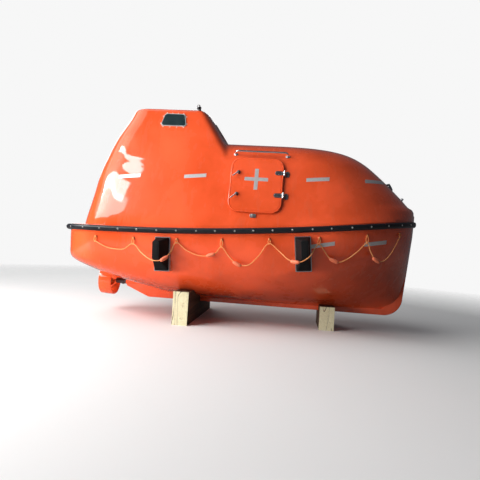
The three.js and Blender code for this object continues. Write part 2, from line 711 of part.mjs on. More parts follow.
// Canopy lamp: a short leaning post on the tower's top, with the lamp on its end.
const LAMP_FOOT = [-735, 0, 2984]
const LAMP_TILT = new THREE.Vector3(-0.34, 0, 0.94)
const LAMP_PARTS = [
  // from, to, radius, radius at the end: post, flange, head
  [-14, 190, 22, 22],
  [186, 208, 34, 34],
  [206, 250, 30, 20],
]
const lampAt = (along) => LAMP_TILT.clone().multiplyScalar(along).add(new THREE.Vector3(...LAMP_FOOT)).toArray()
const lampBars = LAMP_PARTS.map(([from, to, radius, end]) => bar(lampAt(from), lampAt(to), radius, 12, end))
const lamp = join(...lampBars)
add('canopy_lamp', meshOf(lamp.subtract(canopyForm.translate([0, 0, GAP]))), BLACK_PLASTIC)

// Side fender blocks: rubber frustums that keep the boat off the ship's side, each on a galvanised frame.
const BLOCKS = { aft: -953, forward: 867 }
const BLOCK_TOP_DROP = 92
const BLOCK_BASE = { width: 190, height: 436 }
const BLOCK_FACE = { width: 88, low: 280, high: 48 }
const BLOCK_OUT = 1245
const FRAME_OUT = 1052
const FRAME_ROOT = 850
const FRAME_EDGE = 22

const hullClear = hullForm(GAP)

function blockFrame(x) {
  const top = sheer(x) - BLOCK_TOP_DROP
  const half = BLOCK_BASE.width / 2 + FRAME_EDGE
  const low = top - BLOCK_BASE.height - FRAME_EDGE
  return block([x - half, -FRAME_OUT, low], [x + half, -FRAME_ROOT, top + FRAME_EDGE]).subtract(hullClear)
}

function blockRubber(x) {
  const top = sheer(x) - BLOCK_TOP_DROP
  const corner = (half, y, z) => [x + half, y, z]
  const inner = BLOCK_BASE.width / 2
  const outer = BLOCK_FACE.width / 2
  const base = -FRAME_OUT - GAP
  const points = [
    corner(-inner, base, top - BLOCK_BASE.height), corner(inner, base, top - BLOCK_BASE.height),
    corner(inner, base, top), corner(-inner, base, top),
    corner(-outer, -BLOCK_OUT, top - BLOCK_FACE.low), corner(outer, -BLOCK_OUT, top - BLOCK_FACE.low),
    corner(outer, -BLOCK_OUT, top - BLOCK_FACE.high), corner(-outer, -BLOCK_OUT, top - BLOCK_FACE.high),
  ]
  const faces = [[0, 3, 2, 1], [4, 5, 6, 7], [0, 1, 5, 4], [2, 3, 7, 6], [1, 2, 6, 5], [3, 0, 4, 7]]
  const geometry = new THREE.BufferGeometry()
  geometry.setAttribute('position', new THREE.Float32BufferAttribute(points.flat(), 3))
  geometry.setIndex(faces.flatMap(([a, b, c, d]) => [a, b, c, a, c, d]))
  return geometry
}

for (const [place, x] of Object.entries(BLOCKS)) {
  addPair(`side_fender_frame_${place}`, meshOf(blockFrame(x)), GALVANISED)
  addPair(`side_fender_${place}`, blockRubber(x), BLACK_RUBBER)
}

// Stern gear: tube, shaft with propeller, and the steering nozzle that turns on its stock.
const SHAFT_END = -1850
const tube = bar([TUBE_AFT, 0, SHAFT_Z], [TUBE_FORE, 0, SHAFT_Z], TUBE_RADIUS, 20)
const tubeBore = bar([TUBE_AFT - 35, 0, SHAFT_Z], [SHAFT_END + 10, 0, SHAFT_Z], SHAFT_RADIUS + 1, 20)
add('stern_tube', meshOf(tube.subtract(tubeBore)), GALVANISED)

const BLADES = 3
const PROP_RADIUS = 180
const BLADE_PITCH = THREE.MathUtils.degToRad(58)
const BLADE_THICK = 9
const HUB = { fore: 34, aft: -30, radius: 34, aftRadius: 30, coneEnd: -48, coneRadius: 12 }

function propeller() {
  const hub = bar([PROP_X + HUB.fore, 0, 0], [PROP_X + HUB.aft, 0, 0], HUB.radius, 18, HUB.aftRadius)
  const coneFore = [PROP_X + HUB.aft + 1, 0, 0]
  const cone = bar(coneFore, [PROP_X + HUB.coneEnd, 0, 0], HUB.aftRadius, 18, HUB.coneRadius)
  const shaft = bar([PROP_X, 0, 0], [SHAFT_END, 0, 0], SHAFT_RADIUS, 18)
  const blades = []
  for (let i = 0; i < BLADES; i++) {
    const outline = new THREE.Shape()
    outline.moveTo(-22, 20)
    outline.bezierCurveTo(-80, 70, -95, 150, -20, PROP_RADIUS)
    outline.bezierCurveTo(60, 175, 85, 90, 22, 20)
    const options = { depth: BLADE_THICK, bevelEnabled: false, curveSegments: 6 }
    const blade = new THREE.ExtrudeGeometry(outline, options)
    blade.translate(0, 0, -BLADE_THICK / 2)
    blade.rotateY(BLADE_PITCH)
    blade.rotateX(i / BLADES * Math.PI * 2)
    blade.translate(PROP_X, 0, 0)
    blades.push(solid(blade))
  }
  return join(hub, cone, shaft, ...blades)
}

const propellerMesh = add('propeller', meshOf(propeller()), BRONZE)
propellerMesh.position.z = SHAFT_Z

const NOZZLE_FORE = 102
const NOZZLE_AFT = -104
const NOZZLE_PROFILE = [
  // radius, along the shaft from the stock
  [189, 30],
  [204, NOZZLE_FORE - 8],
  [209, NOZZLE_FORE],
  [215, NOZZLE_FORE - 12],
  [216, 40],
  [206, NOZZLE_AFT],
  [196, NOZZLE_AFT],
  [189, -40],
]

const FIN = { aft: NOZZLE_AFT + 4, fore: -66, half: 5, reach: 194 }
const SADDLE = { half: 58, side: 24, foot: 200, top: 222 }

function nozzle() {
  const outline = [...NOZZLE_PROFILE, NOZZLE_PROFILE[0]].reverse()
  const profile = outline.map(([radius, along]) => new THREE.Vector2(radius, along))
  const ring = solid(new THREE.LatheGeometry(profile, 40).rotateZ(-Math.PI / 2))
  const fin = block([FIN.aft, -FIN.half, -FIN.reach], [FIN.fore, FIN.half, FIN.reach])
  const stock = bar([0, 0, SADDLE.foot + 8], [0, 0, STOCK_TOP - SHAFT_Z], STOCK_RADIUS, 20)
  const saddle = block([-SADDLE.half, -SADDLE.side, SADDLE.foot], [SADDLE.half, SADDLE.side, SADDLE.top])
  return join(ring, fin, stock, saddle)
}

const nozzleMesh = add('steering_nozzle', meshOf(nozzle()), ORANGE)
nozzleMesh.position.set(PROP_X, 0, SHAFT_Z)

// Inside: benches along the sides, engine under its casing, helmsman's seat, console and wheel.
const cabinFit = cabinSpace(GAP)
const BENCH = { aft: -1650, fore: 1750, edge: 470, top: 985, back: 870, backTop: 1260 }

function bench() {
  const body = block([BENCH.aft, -HALF_BEAM, CABIN_FLOOR_Z], [BENCH.fore, -BENCH.edge, BENCH.top])
  const back = block([BENCH.aft, -HALF_BEAM, BENCH.top - 10], [BENCH.fore, -BENCH.back, BENCH.backTop])
  return join(body, back).intersect(cabinFit)
}

addPair('bench', meshOf(bench()), CREAM)

const ENGINE = { low: [-1300, -230, CABIN_FLOOR_Z + 30], high: [-650, 230, 1130] }
add('engine', meshOf(block(ENGINE.low, ENGINE.high)), IRON)

const CASING = { low: [-1370, -300, CABIN_FLOOR_Z + GAP], high: [-570, 300, 1200] }
const CASING_WALL = 30
const [casingAft, casingSide] = CASING.low
const [casingFore, , casingTop] = CASING.high
const casingInside = block(
  [casingAft + CASING_WALL, casingSide + CASING_WALL, CABIN_FLOOR_Z - CASING_WALL],
  [casingFore - CASING_WALL, -casingSide - CASING_WALL, casingTop - CASING_WALL],
)
add('engine_casing', meshOf(block(CASING.low, CASING.high).subtract(casingInside)), CREAM)

const SEAT = { aft: -1270, fore: -870, half: 220, top: 1500, back: -1205, backTop: 1900 }
const seat = join(
  block([SEAT.aft, -SEAT.half, casingTop + GAP], [SEAT.fore, SEAT.half, SEAT.top]),
  block([SEAT.aft, -SEAT.half, SEAT.top - 10], [SEAT.back, SEAT.half, SEAT.backTop]),
)
add('helm_seat', meshOf(seat), BLACK_PLASTIC)

const CONSOLE_X = -525
const CONSOLE = { half: 260, post: 40, foot: 1690, top: 2060, aft: -36, fore: 200 }
const console = join(
  block(
    [CONSOLE_X, -CONSOLE.half, CABIN_FLOOR_Z + GAP],
    [CONSOLE_X + CONSOLE.post, CONSOLE.half, CONSOLE.foot + 10],
  ),
  block(
    [CONSOLE_X + CONSOLE.aft, -CONSOLE.half, CONSOLE.foot],
    [CONSOLE_X + CONSOLE.fore, CONSOLE.half, CONSOLE.top],
  ),
)
add('helm_console', meshOf(console), CREAM)

const WHEEL_X = CONSOLE_X - 130
const WHEEL_Z = 1890
const WHEEL = { radius: 165, rim: 12, hub: 34, column: 14, spoke: 9 }
const WHEEL_HUB_ENDS = [-14, 18]
const COLUMN_END = 86
const SPOKES = [90, 210, 330]

function steeringWheel() {
  const rim = solid(new THREE.TorusGeometry(WHEEL.radius, WHEEL.rim, 8, 32).rotateY(Math.PI / 2))
  const hub = bar([WHEEL_HUB_ENDS[0], 0, 0], [WHEEL_HUB_ENDS[1], 0, 0], WHEEL.hub)
  const column = bar([0, 0, 0], [COLUMN_END, 0, 0], WHEEL.column)
  const spokes = SPOKES.map((degrees) => {
    const turn = THREE.MathUtils.degToRad(degrees)
    const [y, z] = [Math.cos(turn), Math.sin(turn)]
    const root = WHEEL.hub * 0.6
    return bar([0, y * root, z * root], [0, y * WHEEL.radius, z * WHEEL.radius], WHEEL.spoke, 8)
  })
  return join(rim, hub, column, ...spokes)
}

const wheelMesh = add('steering_wheel', meshOf(steeringWheel()), BLACK_PLASTIC)
wheelMesh.position.set(WHEEL_X, 0, WHEEL_Z)

// Timber chocks, cut to the hull.
const CHOCKS = {
  // middle along X, thickness, half-length across, height
  chock_aft: [-693, 210, 900, 450],
  chock_forward: [1290, 210, 360, 330],
}

for (const [name, [x, thick, half, height]] of Object.entries(CHOCKS)) {
  const timber = block([x - thick / 2, -half, 0], [x + thick / 2, half, height])
  const keelHalf = KEEL_THICK / 2 + GAP
  const keelRoom = block([x - thick, -keelHalf, KEEL_Z - GAP], [x + thick, keelHalf, 2 * KEEL_Z])
  add(name, meshOf(timber.subtract(hullClear).subtract(keelRoom)), TIMBER)
}

// Lifelines: one rope a side, made fast at every eye and hanging in a loop between them.
const ROPE_DIAMETER = 12
const ROPE_OFF = EYE_PROUD + ROPE_DIAMETER / 2 + 2
const LOOPS = [
  // rope points between two eyes: forward position, drop below the sheer, distance out from the shell
  [[-1753, 190, 20], [-1613, 268, 20], [-1443, 190, 20]],
  [[-1173, 262, 80], [-1030, 385, 190], [-953, 402, 216], [-876, 385, 192], [-815, 300, 95]],
  [[-653, 250, 20], [-443, 318, 20], [-273, 250, 20]],
  [[-53, 290, 20], [127, 420, 20], [277, 380, 20], [377, 250, 20]],
  [[577, 275, 40], [750, 395, 170], [867, 412, 216], [965, 388, 190], [1010, 260, 75]],
  [[1197, 280, 20], [1367, 420, 20], [1497, 380, 20], [1607, 250, 20]],
  [[1767, 290, 20], [1887, 400, 20], [1997, 360, 20], [2085, 220, 20]],
]

function ropePoint([x, drop, off]) {
  const [px, py] = outward(x, off)
  return new THREE.Vector3(px, -py, sheer(x) - drop)
}

function lifeline() {
  const points = []
  EYES.forEach((x, i) => {
    points.push(ropePoint([x, EYE_DROP, ROPE_OFF]))
    if (LOOPS[i]) points.push(...LOOPS[i].map(ropePoint))
  })
  const path = new THREE.CatmullRomCurve3(points, false, 'centripetal')
  const section = new THREE.Shape().absarc(0, 0, ROPE_DIAMETER / 2, 0, Math.PI * 2)
  const options = { steps: 40, extrudePath: path, curveSegments: 4, bevelEnabled: false }
  return new THREE.ExtrudeGeometry(section, options)
}

addPair('lifeline', lifeline(), ROPE)

export default group
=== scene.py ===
import math

import bmesh
import bpy
import numpy as np
from mathutils import Matrix, Vector


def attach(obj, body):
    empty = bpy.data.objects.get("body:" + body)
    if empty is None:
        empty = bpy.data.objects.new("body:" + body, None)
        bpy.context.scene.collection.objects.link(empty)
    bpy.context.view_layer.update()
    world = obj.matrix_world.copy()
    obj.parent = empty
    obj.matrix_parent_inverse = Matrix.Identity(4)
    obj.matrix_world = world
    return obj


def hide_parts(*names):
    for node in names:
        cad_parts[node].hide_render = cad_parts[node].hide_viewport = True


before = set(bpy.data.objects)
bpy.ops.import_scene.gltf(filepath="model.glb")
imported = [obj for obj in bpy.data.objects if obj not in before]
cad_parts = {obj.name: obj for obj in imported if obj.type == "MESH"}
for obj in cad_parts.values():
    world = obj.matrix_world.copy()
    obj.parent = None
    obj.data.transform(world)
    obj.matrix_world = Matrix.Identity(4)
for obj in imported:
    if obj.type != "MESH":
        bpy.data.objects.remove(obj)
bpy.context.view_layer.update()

# Camera. It stands 7 m off the starboard side, low and a little forward of the middle, and is held slightly
# askew, so that the boat seems to run downhill to the right.
CAMERA_PLACE = Vector((0.727, -7.1, 1.17))
CAMERA_FOCAL_SHARE = 472 / 480
CAMERA_YAW = math.radians(6.2)
CAMERA_PITCH = math.radians(0.2)
CAMERA_ROLL = math.radians(3.7)
SENSOR_WIDTH = 36

camera_data = bpy.data.cameras.new("camera")
camera_data.sensor_width = SENSOR_WIDTH
camera_data.lens = SENSOR_WIDTH * CAMERA_FOCAL_SHARE
camera = bpy.data.objects.new("camera", camera_data)
bpy.context.scene.collection.objects.link(camera)
level_right = Vector((math.cos(CAMERA_YAW), math.sin(CAMERA_YAW), 0))
level_ahead = Vector((-math.sin(CAMERA_YAW), math.cos(CAMERA_YAW), 0))
ahead = level_ahead * math.cos(CAMERA_PITCH) + Vector((0, 0, math.sin(CAMERA_PITCH)))
level_up = level_right.cross(ahead)
right = level_right * math.cos(CAMERA_ROLL) + level_up * math.sin(CAMERA_ROLL)
up = level_up * math.cos(CAMERA_ROLL) - level_right * math.sin(CAMERA_ROLL)
camera.matrix_world = Matrix.Translation(CAMERA_PLACE) @ Matrix((right, up, -ahead)).transposed().to_4x4()
bpy.context.scene.camera = camera
bpy.context.scene.view_settings.view_transform = "Standard"


# Materials are made node by node. A Link is one socket, on which sums and products can be written, and a
# Paint is one material with its nodes and its surface.
class Link:
    def __init__(self, paint, socket):
        self.paint, self.socket = paint, socket

    def maths(self, operation, *values):
        return self.paint.node("ShaderNodeMath", {"operation": operation}, dict(enumerate(values)))

    def __add__(self, other):
        return self.maths("ADD", self, other)

    def __sub__(self, other):
        return self.maths("SUBTRACT", self, other)

    def __rsub__(self, other):
        return self.maths("SUBTRACT", other, self)

    def __mul__(self, other):
        return self.maths("MULTIPLY", self, other)

    def __truediv__(self, other):
        return self.maths("DIVIDE", self, other)

    __radd__ = __add__
    __rmul__ = __mul__

    def between(self, low, high):
        """From 0 at low to 1 at high, evenly, and no further."""
        settings = {"clamp": True}
        return self.paint.node("ShaderNodeMapRange", settings,
                               {"Value": self, "From Min": low, "From Max": high})


class Paint:
    def __init__(self, name, colour, roughness, **sockets):
        self.material = bpy.data.materials.new(name)
        self.material.use_nodes = True
        self.surface = self.material.node_tree.nodes["Principled BSDF"]
        self.feed(**{"Base Color": colour, "Roughness": roughness}, **sockets)

    def node(self, kind, settings=None, inputs=None, output=0):
        made = self.material.node_tree.nodes.new(kind)
        for name, value in (settings or {}).items():
            setattr(made, name, value)
        for name, value in (inputs or {}).items():
            self.connect(value, made.inputs[name])
        return Link(self, made.outputs[output])

    def connect(self, value, socket):
        if isinstance(value, Link):
            self.material.node_tree.links.new(value.socket, socket)
        else:
            plain_colour = socket.type == "RGBA" and len(value) == 3
            socket.default_value = (*value, 1) if plain_colour else value

    def feed(self, **sockets):
        for name, value in sockets.items():
            self.connect(value, self.surface.inputs[name.replace("_", " ")])

    def place(self):
        return self.node("ShaderNodeTexCoord", output="Object")

    def axis(self, which, vector=None):
        return self.node("ShaderNodeSeparateXYZ", None, {0: vector or self.place()}, which)

    def stretched(self, x, y, z):
        return self.node("ShaderNodeVectorMath", {"operation": "MULTIPLY"}, {0: self.place(), 1: (x, y, z)})

    def noise(self, scale, detail=3, roughness=0.5, vector=None, distortion=0):
        inputs = {"Vector": vector or self.place(), "Scale": scale, "Detail": detail,
                  "Roughness": roughness, "Distortion": distortion}
        return self.node("ShaderNodeTexNoise", None, inputs)

    def mix(self, share, first, second, blend="MIX"):
        settings = {"data_type": "RGBA", "blend_type": blend}
        return self.node("ShaderNodeMix", settings, {0: share, 6: first, 7: second}, 2)

    def bump(self, height, distance, strength=1.0, normal=None):
        inputs = {"Height": height, "Distance": distance, "Strength": strength}
        if normal:
            inputs["Normal"] = normal
        return self.node("ShaderNodeBump", None, inputs)


# Studio. A floor that looks plain and pale fades into pale air at its edge. Where it is mirrored it is
# painted darker, a painted dark reflection, and the light it sends back is painted too: warm and pale on
# the stern's side and dark towards the bow, a painted bounce that leaves the bow in shade. Soft light comes
# from the stern's side: a broad source with two bright openings above it, which the gloss of the quarter
# mirrors, and a low one that it doesn't. A little fill comes from the sky and from behind.
FLOOR_SIZE = 60
FLOOR_FADE = (5.0, 11.0)
MIRRORED_FLOOR = (0.36, 0.34, 0.33)
PAINTED_BOUNCE_FADE = (-1.2, 2.4)
floor_paint = Paint("studio floor", (0.80, 0.80, 0.79), 0.9)
from_middle = floor_paint.node("ShaderNodeVectorMath", {"operation": "LENGTH"}, {0: floor_paint.place()}, 1)
seen_directly = floor_paint.node("ShaderNodeLightPath")
seen_in_gloss = floor_paint.node("ShaderNodeLightPath", output=3)
pale_floor = floor_paint.mix(floor_paint.noise(0.6), (0.79, 0.79, 0.78), (0.82, 0.82, 0.81))
# Painted bounce: the floor's colour for the light it sends back runs from warm and pale on the stern's side
# to nearly black towards the bow, and is a darker grey where the gloss mirrors it.
painted_bounce = floor_paint.mix(floor_paint.axis(0).between(*PAINTED_BOUNCE_FADE), (0.92, 0.86, 0.78), (0.13, 0.12, 0.11))
floor_paint.feed(**{
    "Base Color": floor_paint.mix(seen_directly, floor_paint.mix(seen_in_gloss, painted_bounce, MIRRORED_FLOOR),
                                  pale_floor),
    "Alpha": 1 - from_middle.between(*FLOOR_FADE),
})
floor_mesh = bpy.data.meshes.new("studio_floor")
half = FLOOR_SIZE / 2
floor_mesh.from_pydata([(-half, -half, 0), (half, -half, 0), (half, half, 0), (-half, half, 0)], [],
                       [(0, 1, 2, 3)])
floor_mesh.materials.append(floor_paint.material)
studio_floor = bpy.data.objects.new("studio_floor", floor_mesh)
bpy.context.scene.collection.objects.link(studio_floor)

LAMPS = [
    # name, one end, other end, aimed at, width, watts, seen in the gloss
    ("soft_stern", (-8.3, -2.3, 4.0), (-3.9, -6.5, 4.5), (-1.2, -0.7, 1.5), 2.2, 330, True),
    ("bright_opening", (-8.2, -1.8, 5.0), (-3.85, -6.2, 5.72), (-1.6, -0.9, 1.7), 0.6, 205, True),
    ("bright_strip", (-7.2, -1.8, 6.6), (-3.55, -6.0, 6.25), (-1.6, -0.8, 2.2), 0.35, 105, True),
    ("low_stern", (-7.0, -2.6, 0.8), (-4.4, -5.8, 0.8), (-0.6, -0.6, 0.9), 1.4, 365, False),
    ("soft_back", (-6.2, 5.2, 4.5), (-1.8, 7.8, 4.5), (0, 0, 1.5), 3.0, 150, True),
]
SKY_FROM = (-6, -1, 7)
SKY_STRENGTH = 1.05
SKY_ANGLE = math.radians(60)


def soft_lamp(name, kind, place, aim, level, energy, **settings):
    """A lamp that shines towards aim, with its long side as near as it can be to the direction of level."""
    lamp_data = bpy.data.lights.new(name, kind)
    lamp_data.energy = energy
    for setting, value in settings.items():
        setattr(lamp_data, setting, value)
    lamp = bpy.data.objects.new(name, lamp_data)
    back = (place - Vector(aim)).normalized()
    side = (level - back * level.dot(back)).normalized()
    turn = Matrix((side, back.cross(side), back)).transposed().to_4x4()
    lamp.matrix_world = Matrix.Translation(place) @ turn
    bpy.context.scene.collection.objects.link(lamp)
    return lamp


for name, one_end, other_end, aim, width, watts, in_gloss in LAMPS:
    length = Vector(other_end) - Vector(one_end)
    panel = soft_lamp(name, "AREA", Vector(one_end) + length / 2, aim, length, watts, shape="RECTANGLE",
                      size=length.length, size_y=width)
    panel.visible_glossy = in_gloss
soft_lamp("soft_sky", "SUN", Vector(SKY_FROM), (0, 0, 0), Vector((1, 0, 0)), SKY_STRENGTH, angle=SKY_ANGLE)

AIR_SEEN = (0.93, 0.93, 0.93, 1)
AIR_LIGHT = (0.86, 0.90, 1.0, 1)
AIR_STRENGTH = 0.10
world = bpy.data.worlds.new("studio_air")
world.use_nodes = True
bpy.context.scene.world = world
air = world.node_tree
seen_by_camera = air.nodes.new("ShaderNodeLightPath")
pale_wall = air.nodes.new("ShaderNodeBackground")
pale_wall.inputs["Color"].default_value = AIR_SEEN
soft_fill = air.nodes["Background"]
soft_fill.inputs["Color"].default_value = AIR_LIGHT
soft_fill.inputs["Strength"].default_value = AIR_STRENGTH
either = air.nodes.new("ShaderNodeMixShader")
air.links.new(seen_by_camera.outputs["Is Camera Ray"], either.inputs[0])
air.links.new(soft_fill.outputs[0], either.inputs[1])
air.links.new(pale_wall.outputs[0], either.inputs[2])
air.links.new(either.outputs[0], air.nodes["World Output"].inputs["Surface"])


# The boat's lines. Every level line of hull and canopy is drawn in the same way from a few numbers: a
# slightly curved stern, a round quarter, a straight side and a bow that closes on a power curve.
# Millimetres.
MM = 0.001
KEEL_Z = 235
SHEER_MID = 1302
SHEER_SLOPE = 0.0673
SHEER_CURVE = 1.58e-5
SHELL_STERN = -2430
SHELL_BOW = 2450
SHELL_BEAM = 1045
QUARTER_SHARE = 0.43
RIM_LEVEL = (SHELL_STERN, 42, SHELL_BOW, SHELL_BEAM, 490, 1177, 2)


def sheer(x):
    return SHEER_MID + SHEER_SLOPE * x + SHEER_CURVE * x * x


def half_line(level, transom=10, quarter_steps=22, side=60, bow_steps=50):
    """Points of one level line, from the middle of the stern to the tip of the bow, on one side."""
    stern, crown, bow, breadth, quarter, shoulder, full = level
    corner = breadth * QUARTER_SHARE
    share = np.arange(transom + 1) / transom
    turn = np.arange(1, quarter_steps + 1) / quarter_steps * math.pi / 2
    along = np.arange(1, side + 1) / side
    swing = np.arange(1, bow_steps + 1) / bow_steps * math.pi / 2
    start = stern + crown
    x = [stern + crown * share ** 2, start + quarter * (1 - np.cos(turn)),
         start + quarter + (shoulder - start - quarter) * along,
         shoulder + (bow - shoulder) * np.sin(swing) ** (2 / full)]
    y = [(breadth - corner) * share, breadth - corner * (1 - np.sin(turn)), breadth + 0 * along,
         breadth * np.maximum(np.cos(swing), 0) ** (2 / full)]
    x, y = np.concatenate(x), np.concatenate(y)
    y[-1] = 0
    return x, y


def whole_line(x, y, z):
    """Both sides of a level line as one closed ring of points, from the stern along starboard."""
    starboard = np.stack([x, -y, z], axis=1)
    port = np.stack([x, y, z], axis=1)[1:-1][::-1]
    return np.concatenate([starboard, port])


def flowing(knots, table, at):
    """Values that run smoothly through the rows of a table, with no overshoot between them."""
    knots = np.asarray(knots, float)
    table = np.asarray(table, float).reshape(len(knots), -1)
    slope = np.diff(table, axis=0) / np.diff(knots)[:, None]
    same_way = slope[:-1] * slope[1:] > 0
    total = np.where(same_way, slope[:-1] + slope[1:], 1)
    tangent = np.zeros_like(table)
    tangent[0], tangent[-1] = slope[0], slope[-1]
    tangent[1:-1] = np.where(same_way, 2 * slope[:-1] * slope[1:] / total, 0)
    at = np.clip(np.asarray(at, float), knots[0], knots[-1])
    row = np.clip(np.searchsorted(knots, at, "right") - 1, 0, len(knots) - 2)
    width = (knots[row + 1] - knots[row])[..., None]
    t = (at - knots[row])[..., None] / width
    low, high = table[row], table[row + 1]
    value = low * (1 + 2 * t) * (1 - t) ** 2 + high * t ** 2 * (3 - 2 * t)
    return value + width * (tangent[row] * t * (1 - t) ** 2 - tangent[row + 1] * t ** 2 * (1 - t))


def breadth_at(level, x):
    """Half-breadth of level lines at x, and less than nothing past their ends."""
    stern, crown, bow, breadth, quarter, shoulder, full = np.moveaxis(np.asarray(level, float), -1, 0)
    corner = breadth * QUARTER_SHARE
    start = stern + crown
    transom = (breadth - corner) * np.sqrt(np.clip((x - stern) / np.maximum(crown, 1e-6), 0, 1))
    turn = np.arccos(np.clip(1 - (x - start) / quarter, -1, 1))
    rounded = breadth - corner * (1 - np.sin(turn))
    reach = np.clip((x - shoulder) / (bow - shoulder), 0, 1)
    fore = breadth * (1 - reach ** full) ** (1 / full)
    inside = np.where(x < start, transom, np.where(x < start + quarter, rounded, fore))
    past = np.maximum(stern - x, x - bow)
    return np.where(past > 0, -3 * past, inside)


# Lifelines. A 12 mm orange rope runs along each side from eye to eye and hangs in loops between them, for
# people in the water to hold. It is made fast at each end, and in front of the side fenders it hangs clear
# of them.
EYES = [-1868, -1348, -763, -168, 447, 1077, 1677, 2130]
EYE_DROP = 112
TIE_DROPS = [172, 188, 156, 204, 166, 194, 206, 140]
ROPE_DIAMETER = 12
ROPE_OFF = 20
LOOPS = [
    # rope points between two eyes: forward position, drop below the sheer, distance out from the shell
    [[-1713, 244, 20], [-1589, 266, 20], [-1464, 262, 20]],
    [[-1205, 300, 70], [-1045, 378, 192], [-962, 392, 216], [-880, 374, 198], [-812, 285, 100]],
    [[-618, 255, 20], [-481, 312, 20], [-374, 324, 20], [-235, 284, 20]],
    [[-60, 326, 20], [40, 418, 20], [120, 446, 20], [206, 436, 20], [325, 322, 20]],
    [[577, 262, 40], [700, 368, 130], [790, 402, 196], [867, 400, 218], [965, 338, 212], [1022, 252, 95]],
    [[1213, 366, 20], [1275, 410, 20], [1336, 430, 20], [1431, 398, 20], [1568, 300, 20]],
    [[1730, 320, 20], [1799, 425, 20], [1860, 452, 20], [1927, 438, 20], [2022, 338, 20], [2096, 205, 20]],
]
ROPE_SIDES = 14
STRANDS = 3
STRAND_DEPTH = 0.13
STRAND_SWELL = 1.6
STRAND_PITCH = 0.055
ROPE_STEP = 0.008


def beside_shell(x, drop, off):
    """A point beside the starboard shell under the fender, in metres."""
    step = 20.0
    here = float(breadth_at(RIM_LEVEL, np.array(x)))
    slope = float(breadth_at(RIM_LEVEL, np.array(x + step))
                  - breadth_at(RIM_LEVEL, np.array(x - step))) / (2 * step)
    size = math.hypot(slope, 1)
    return Vector((x - slope / size * off, -(here + off / size), sheer(x) - drop)) * MM


def distance_along(points):
    """How far each point of a line lies from the line's start, measured along it."""
    return np.concatenate([[0], np.cumsum(np.linalg.norm(np.diff(points, axis=0), axis=1))])


def curve_through(points, step):
    """A smooth curve through the points, as points a step apart."""
    points = [np.array(p, float) for p in points]
    points = [2 * points[0] - points[1], *points, 2 * points[-1] - points[-2]]
    dense = []
    for a, b, c, d in zip(points, points[1:], points[2:], points[3:]):
        spans = [max(np.linalg.norm(q - p), 1e-9) ** 0.5 for p, q in ((a, b), (b, c), (c, d))]
        times = np.cumsum([0] + spans)
        for t in np.linspace(times[1], times[2], 40, endpoint=False):
            def between(p, q, start, end):
                return (p * (end - t) + q * (t - start)) / (end - start)
            ab, bc, cd = between(a, b, *times[:2]), between(b, c, *times[1:3]), between(c, d, *times[2:4])
            first = (ab * (times[2] - t) + bc * (t - times[0])) / (times[2] - times[0])
            second = (bc * (times[3] - t) + cd * (t - times[1])) / (times[3] - times[1])
            dense.append(between(first, second, times[1], times[2]))
    dense = np.array(dense + [points[-2]])
    run = distance_along(dense)
    at = np.linspace(0, run[-1], max(int(run[-1] / step), 2) + 1)
    return np.stack([np.interp(at, run, dense[:, i]) for i in range(3)], axis=1), run[-1]


def skin(rings, ends=True, loop=False):
    """The corners and faces of a surface over rings that all have the same number of points."""
    count = len(rings[0])
    corners = [tuple(p) for ring in rings for p in ring]
    rows = len(rings) if loop else len(rings) - 1
    faces = []
    for r in range(rows):
        low, high = r * count, (r + 1) % len(rings) * count
        faces += [(low + j, low + (j + 1) % count, high + (j + 1) % count, high + j) for j in range(count)]
    if ends and not loop:
        faces.append(tuple(range(count))[::-1])
        faces.append(tuple((len(rings) - 1) * count + j for j in range(count)))
    return corners, faces


def sweep(path, section, loop=False):
    """A section carried along a path without twisting. section(i) gives its points at step i."""
    path = np.asarray(path, float)
    ahead_of = np.roll(path, -1, axis=0) - np.roll(path, 1, axis=0) if loop else np.gradient(path, axis=0)
    ahead_of /= np.linalg.norm(ahead_of, axis=1)[:, None]
    side_way = np.cross(ahead_of[0], (0.12, 0.23, 0.96))
    rings = []
    for i, (point, tangent) in enumerate(zip(path, ahead_of)):
        side_way = side_way - tangent * side_way.dot(tangent)
        side_way /= np.linalg.norm(side_way)
        other = np.cross(tangent, side_way)
        rings.append([point + side_way * u + other * v for u, v in section(i)])
    return skin(rings, loop=loop)


def circle(radius, sides):
    return [(radius * math.cos(a), radius * math.sin(a)) for a in np.arange(sides) * 2 * math.pi / sides]


def pipe(path, radius, sides=16, loop=False):
    """A round bar or tube along a path. radius is one value, or one for each point."""
    radii = np.broadcast_to(radius, len(path))
    return sweep(path, lambda i: circle(radii[i], sides), loop)


def joined(shapes):
    corners, faces = [], []
    for more, sides in shapes:
        base = len(corners)
        corners += more
        faces += [tuple(base + i for i in face) for face in sides]
    return corners, faces


def moved(shape, place):
    """A shape carried by a matrix. One that mirrors turns the faces round, so that they still look out."""
    corners, faces = shape
    corners = [tuple(place @ Vector(p)) for p in corners]
    return corners, faces if place.determinant() > 0 else [face[::-1] for face in faces]


def mesh_of(shape, slot_index=0, materials=()):
    """A mesh whose faces all look out."""
    if isinstance(shape, bpy.types.Mesh):
        return shape
    corners, faces = shape
    mesh = bpy.data.meshes.new("moulding")
    mesh.from_pydata(corners, [], faces)
    solid = bmesh.new()
    solid.from_mesh(mesh)
    bmesh.ops.remove_doubles(solid, verts=solid.verts, dist=1e-6)
    bmesh.ops.recalc_face_normals(solid, faces=solid.faces)
    solid.to_mesh(mesh)
    solid.free()
    for material in materials:
        mesh.materials.append(material)
    mesh.polygons.foreach_set("material_index", [slot_index] * len(mesh.polygons))
    return mesh


def placed(shape, at=None):
    """A shape, or several as one, carried into a frame if one is given."""
    if isinstance(shape, list):
        shape = joined(shape)
    return shape if at is None else moved(shape, at)


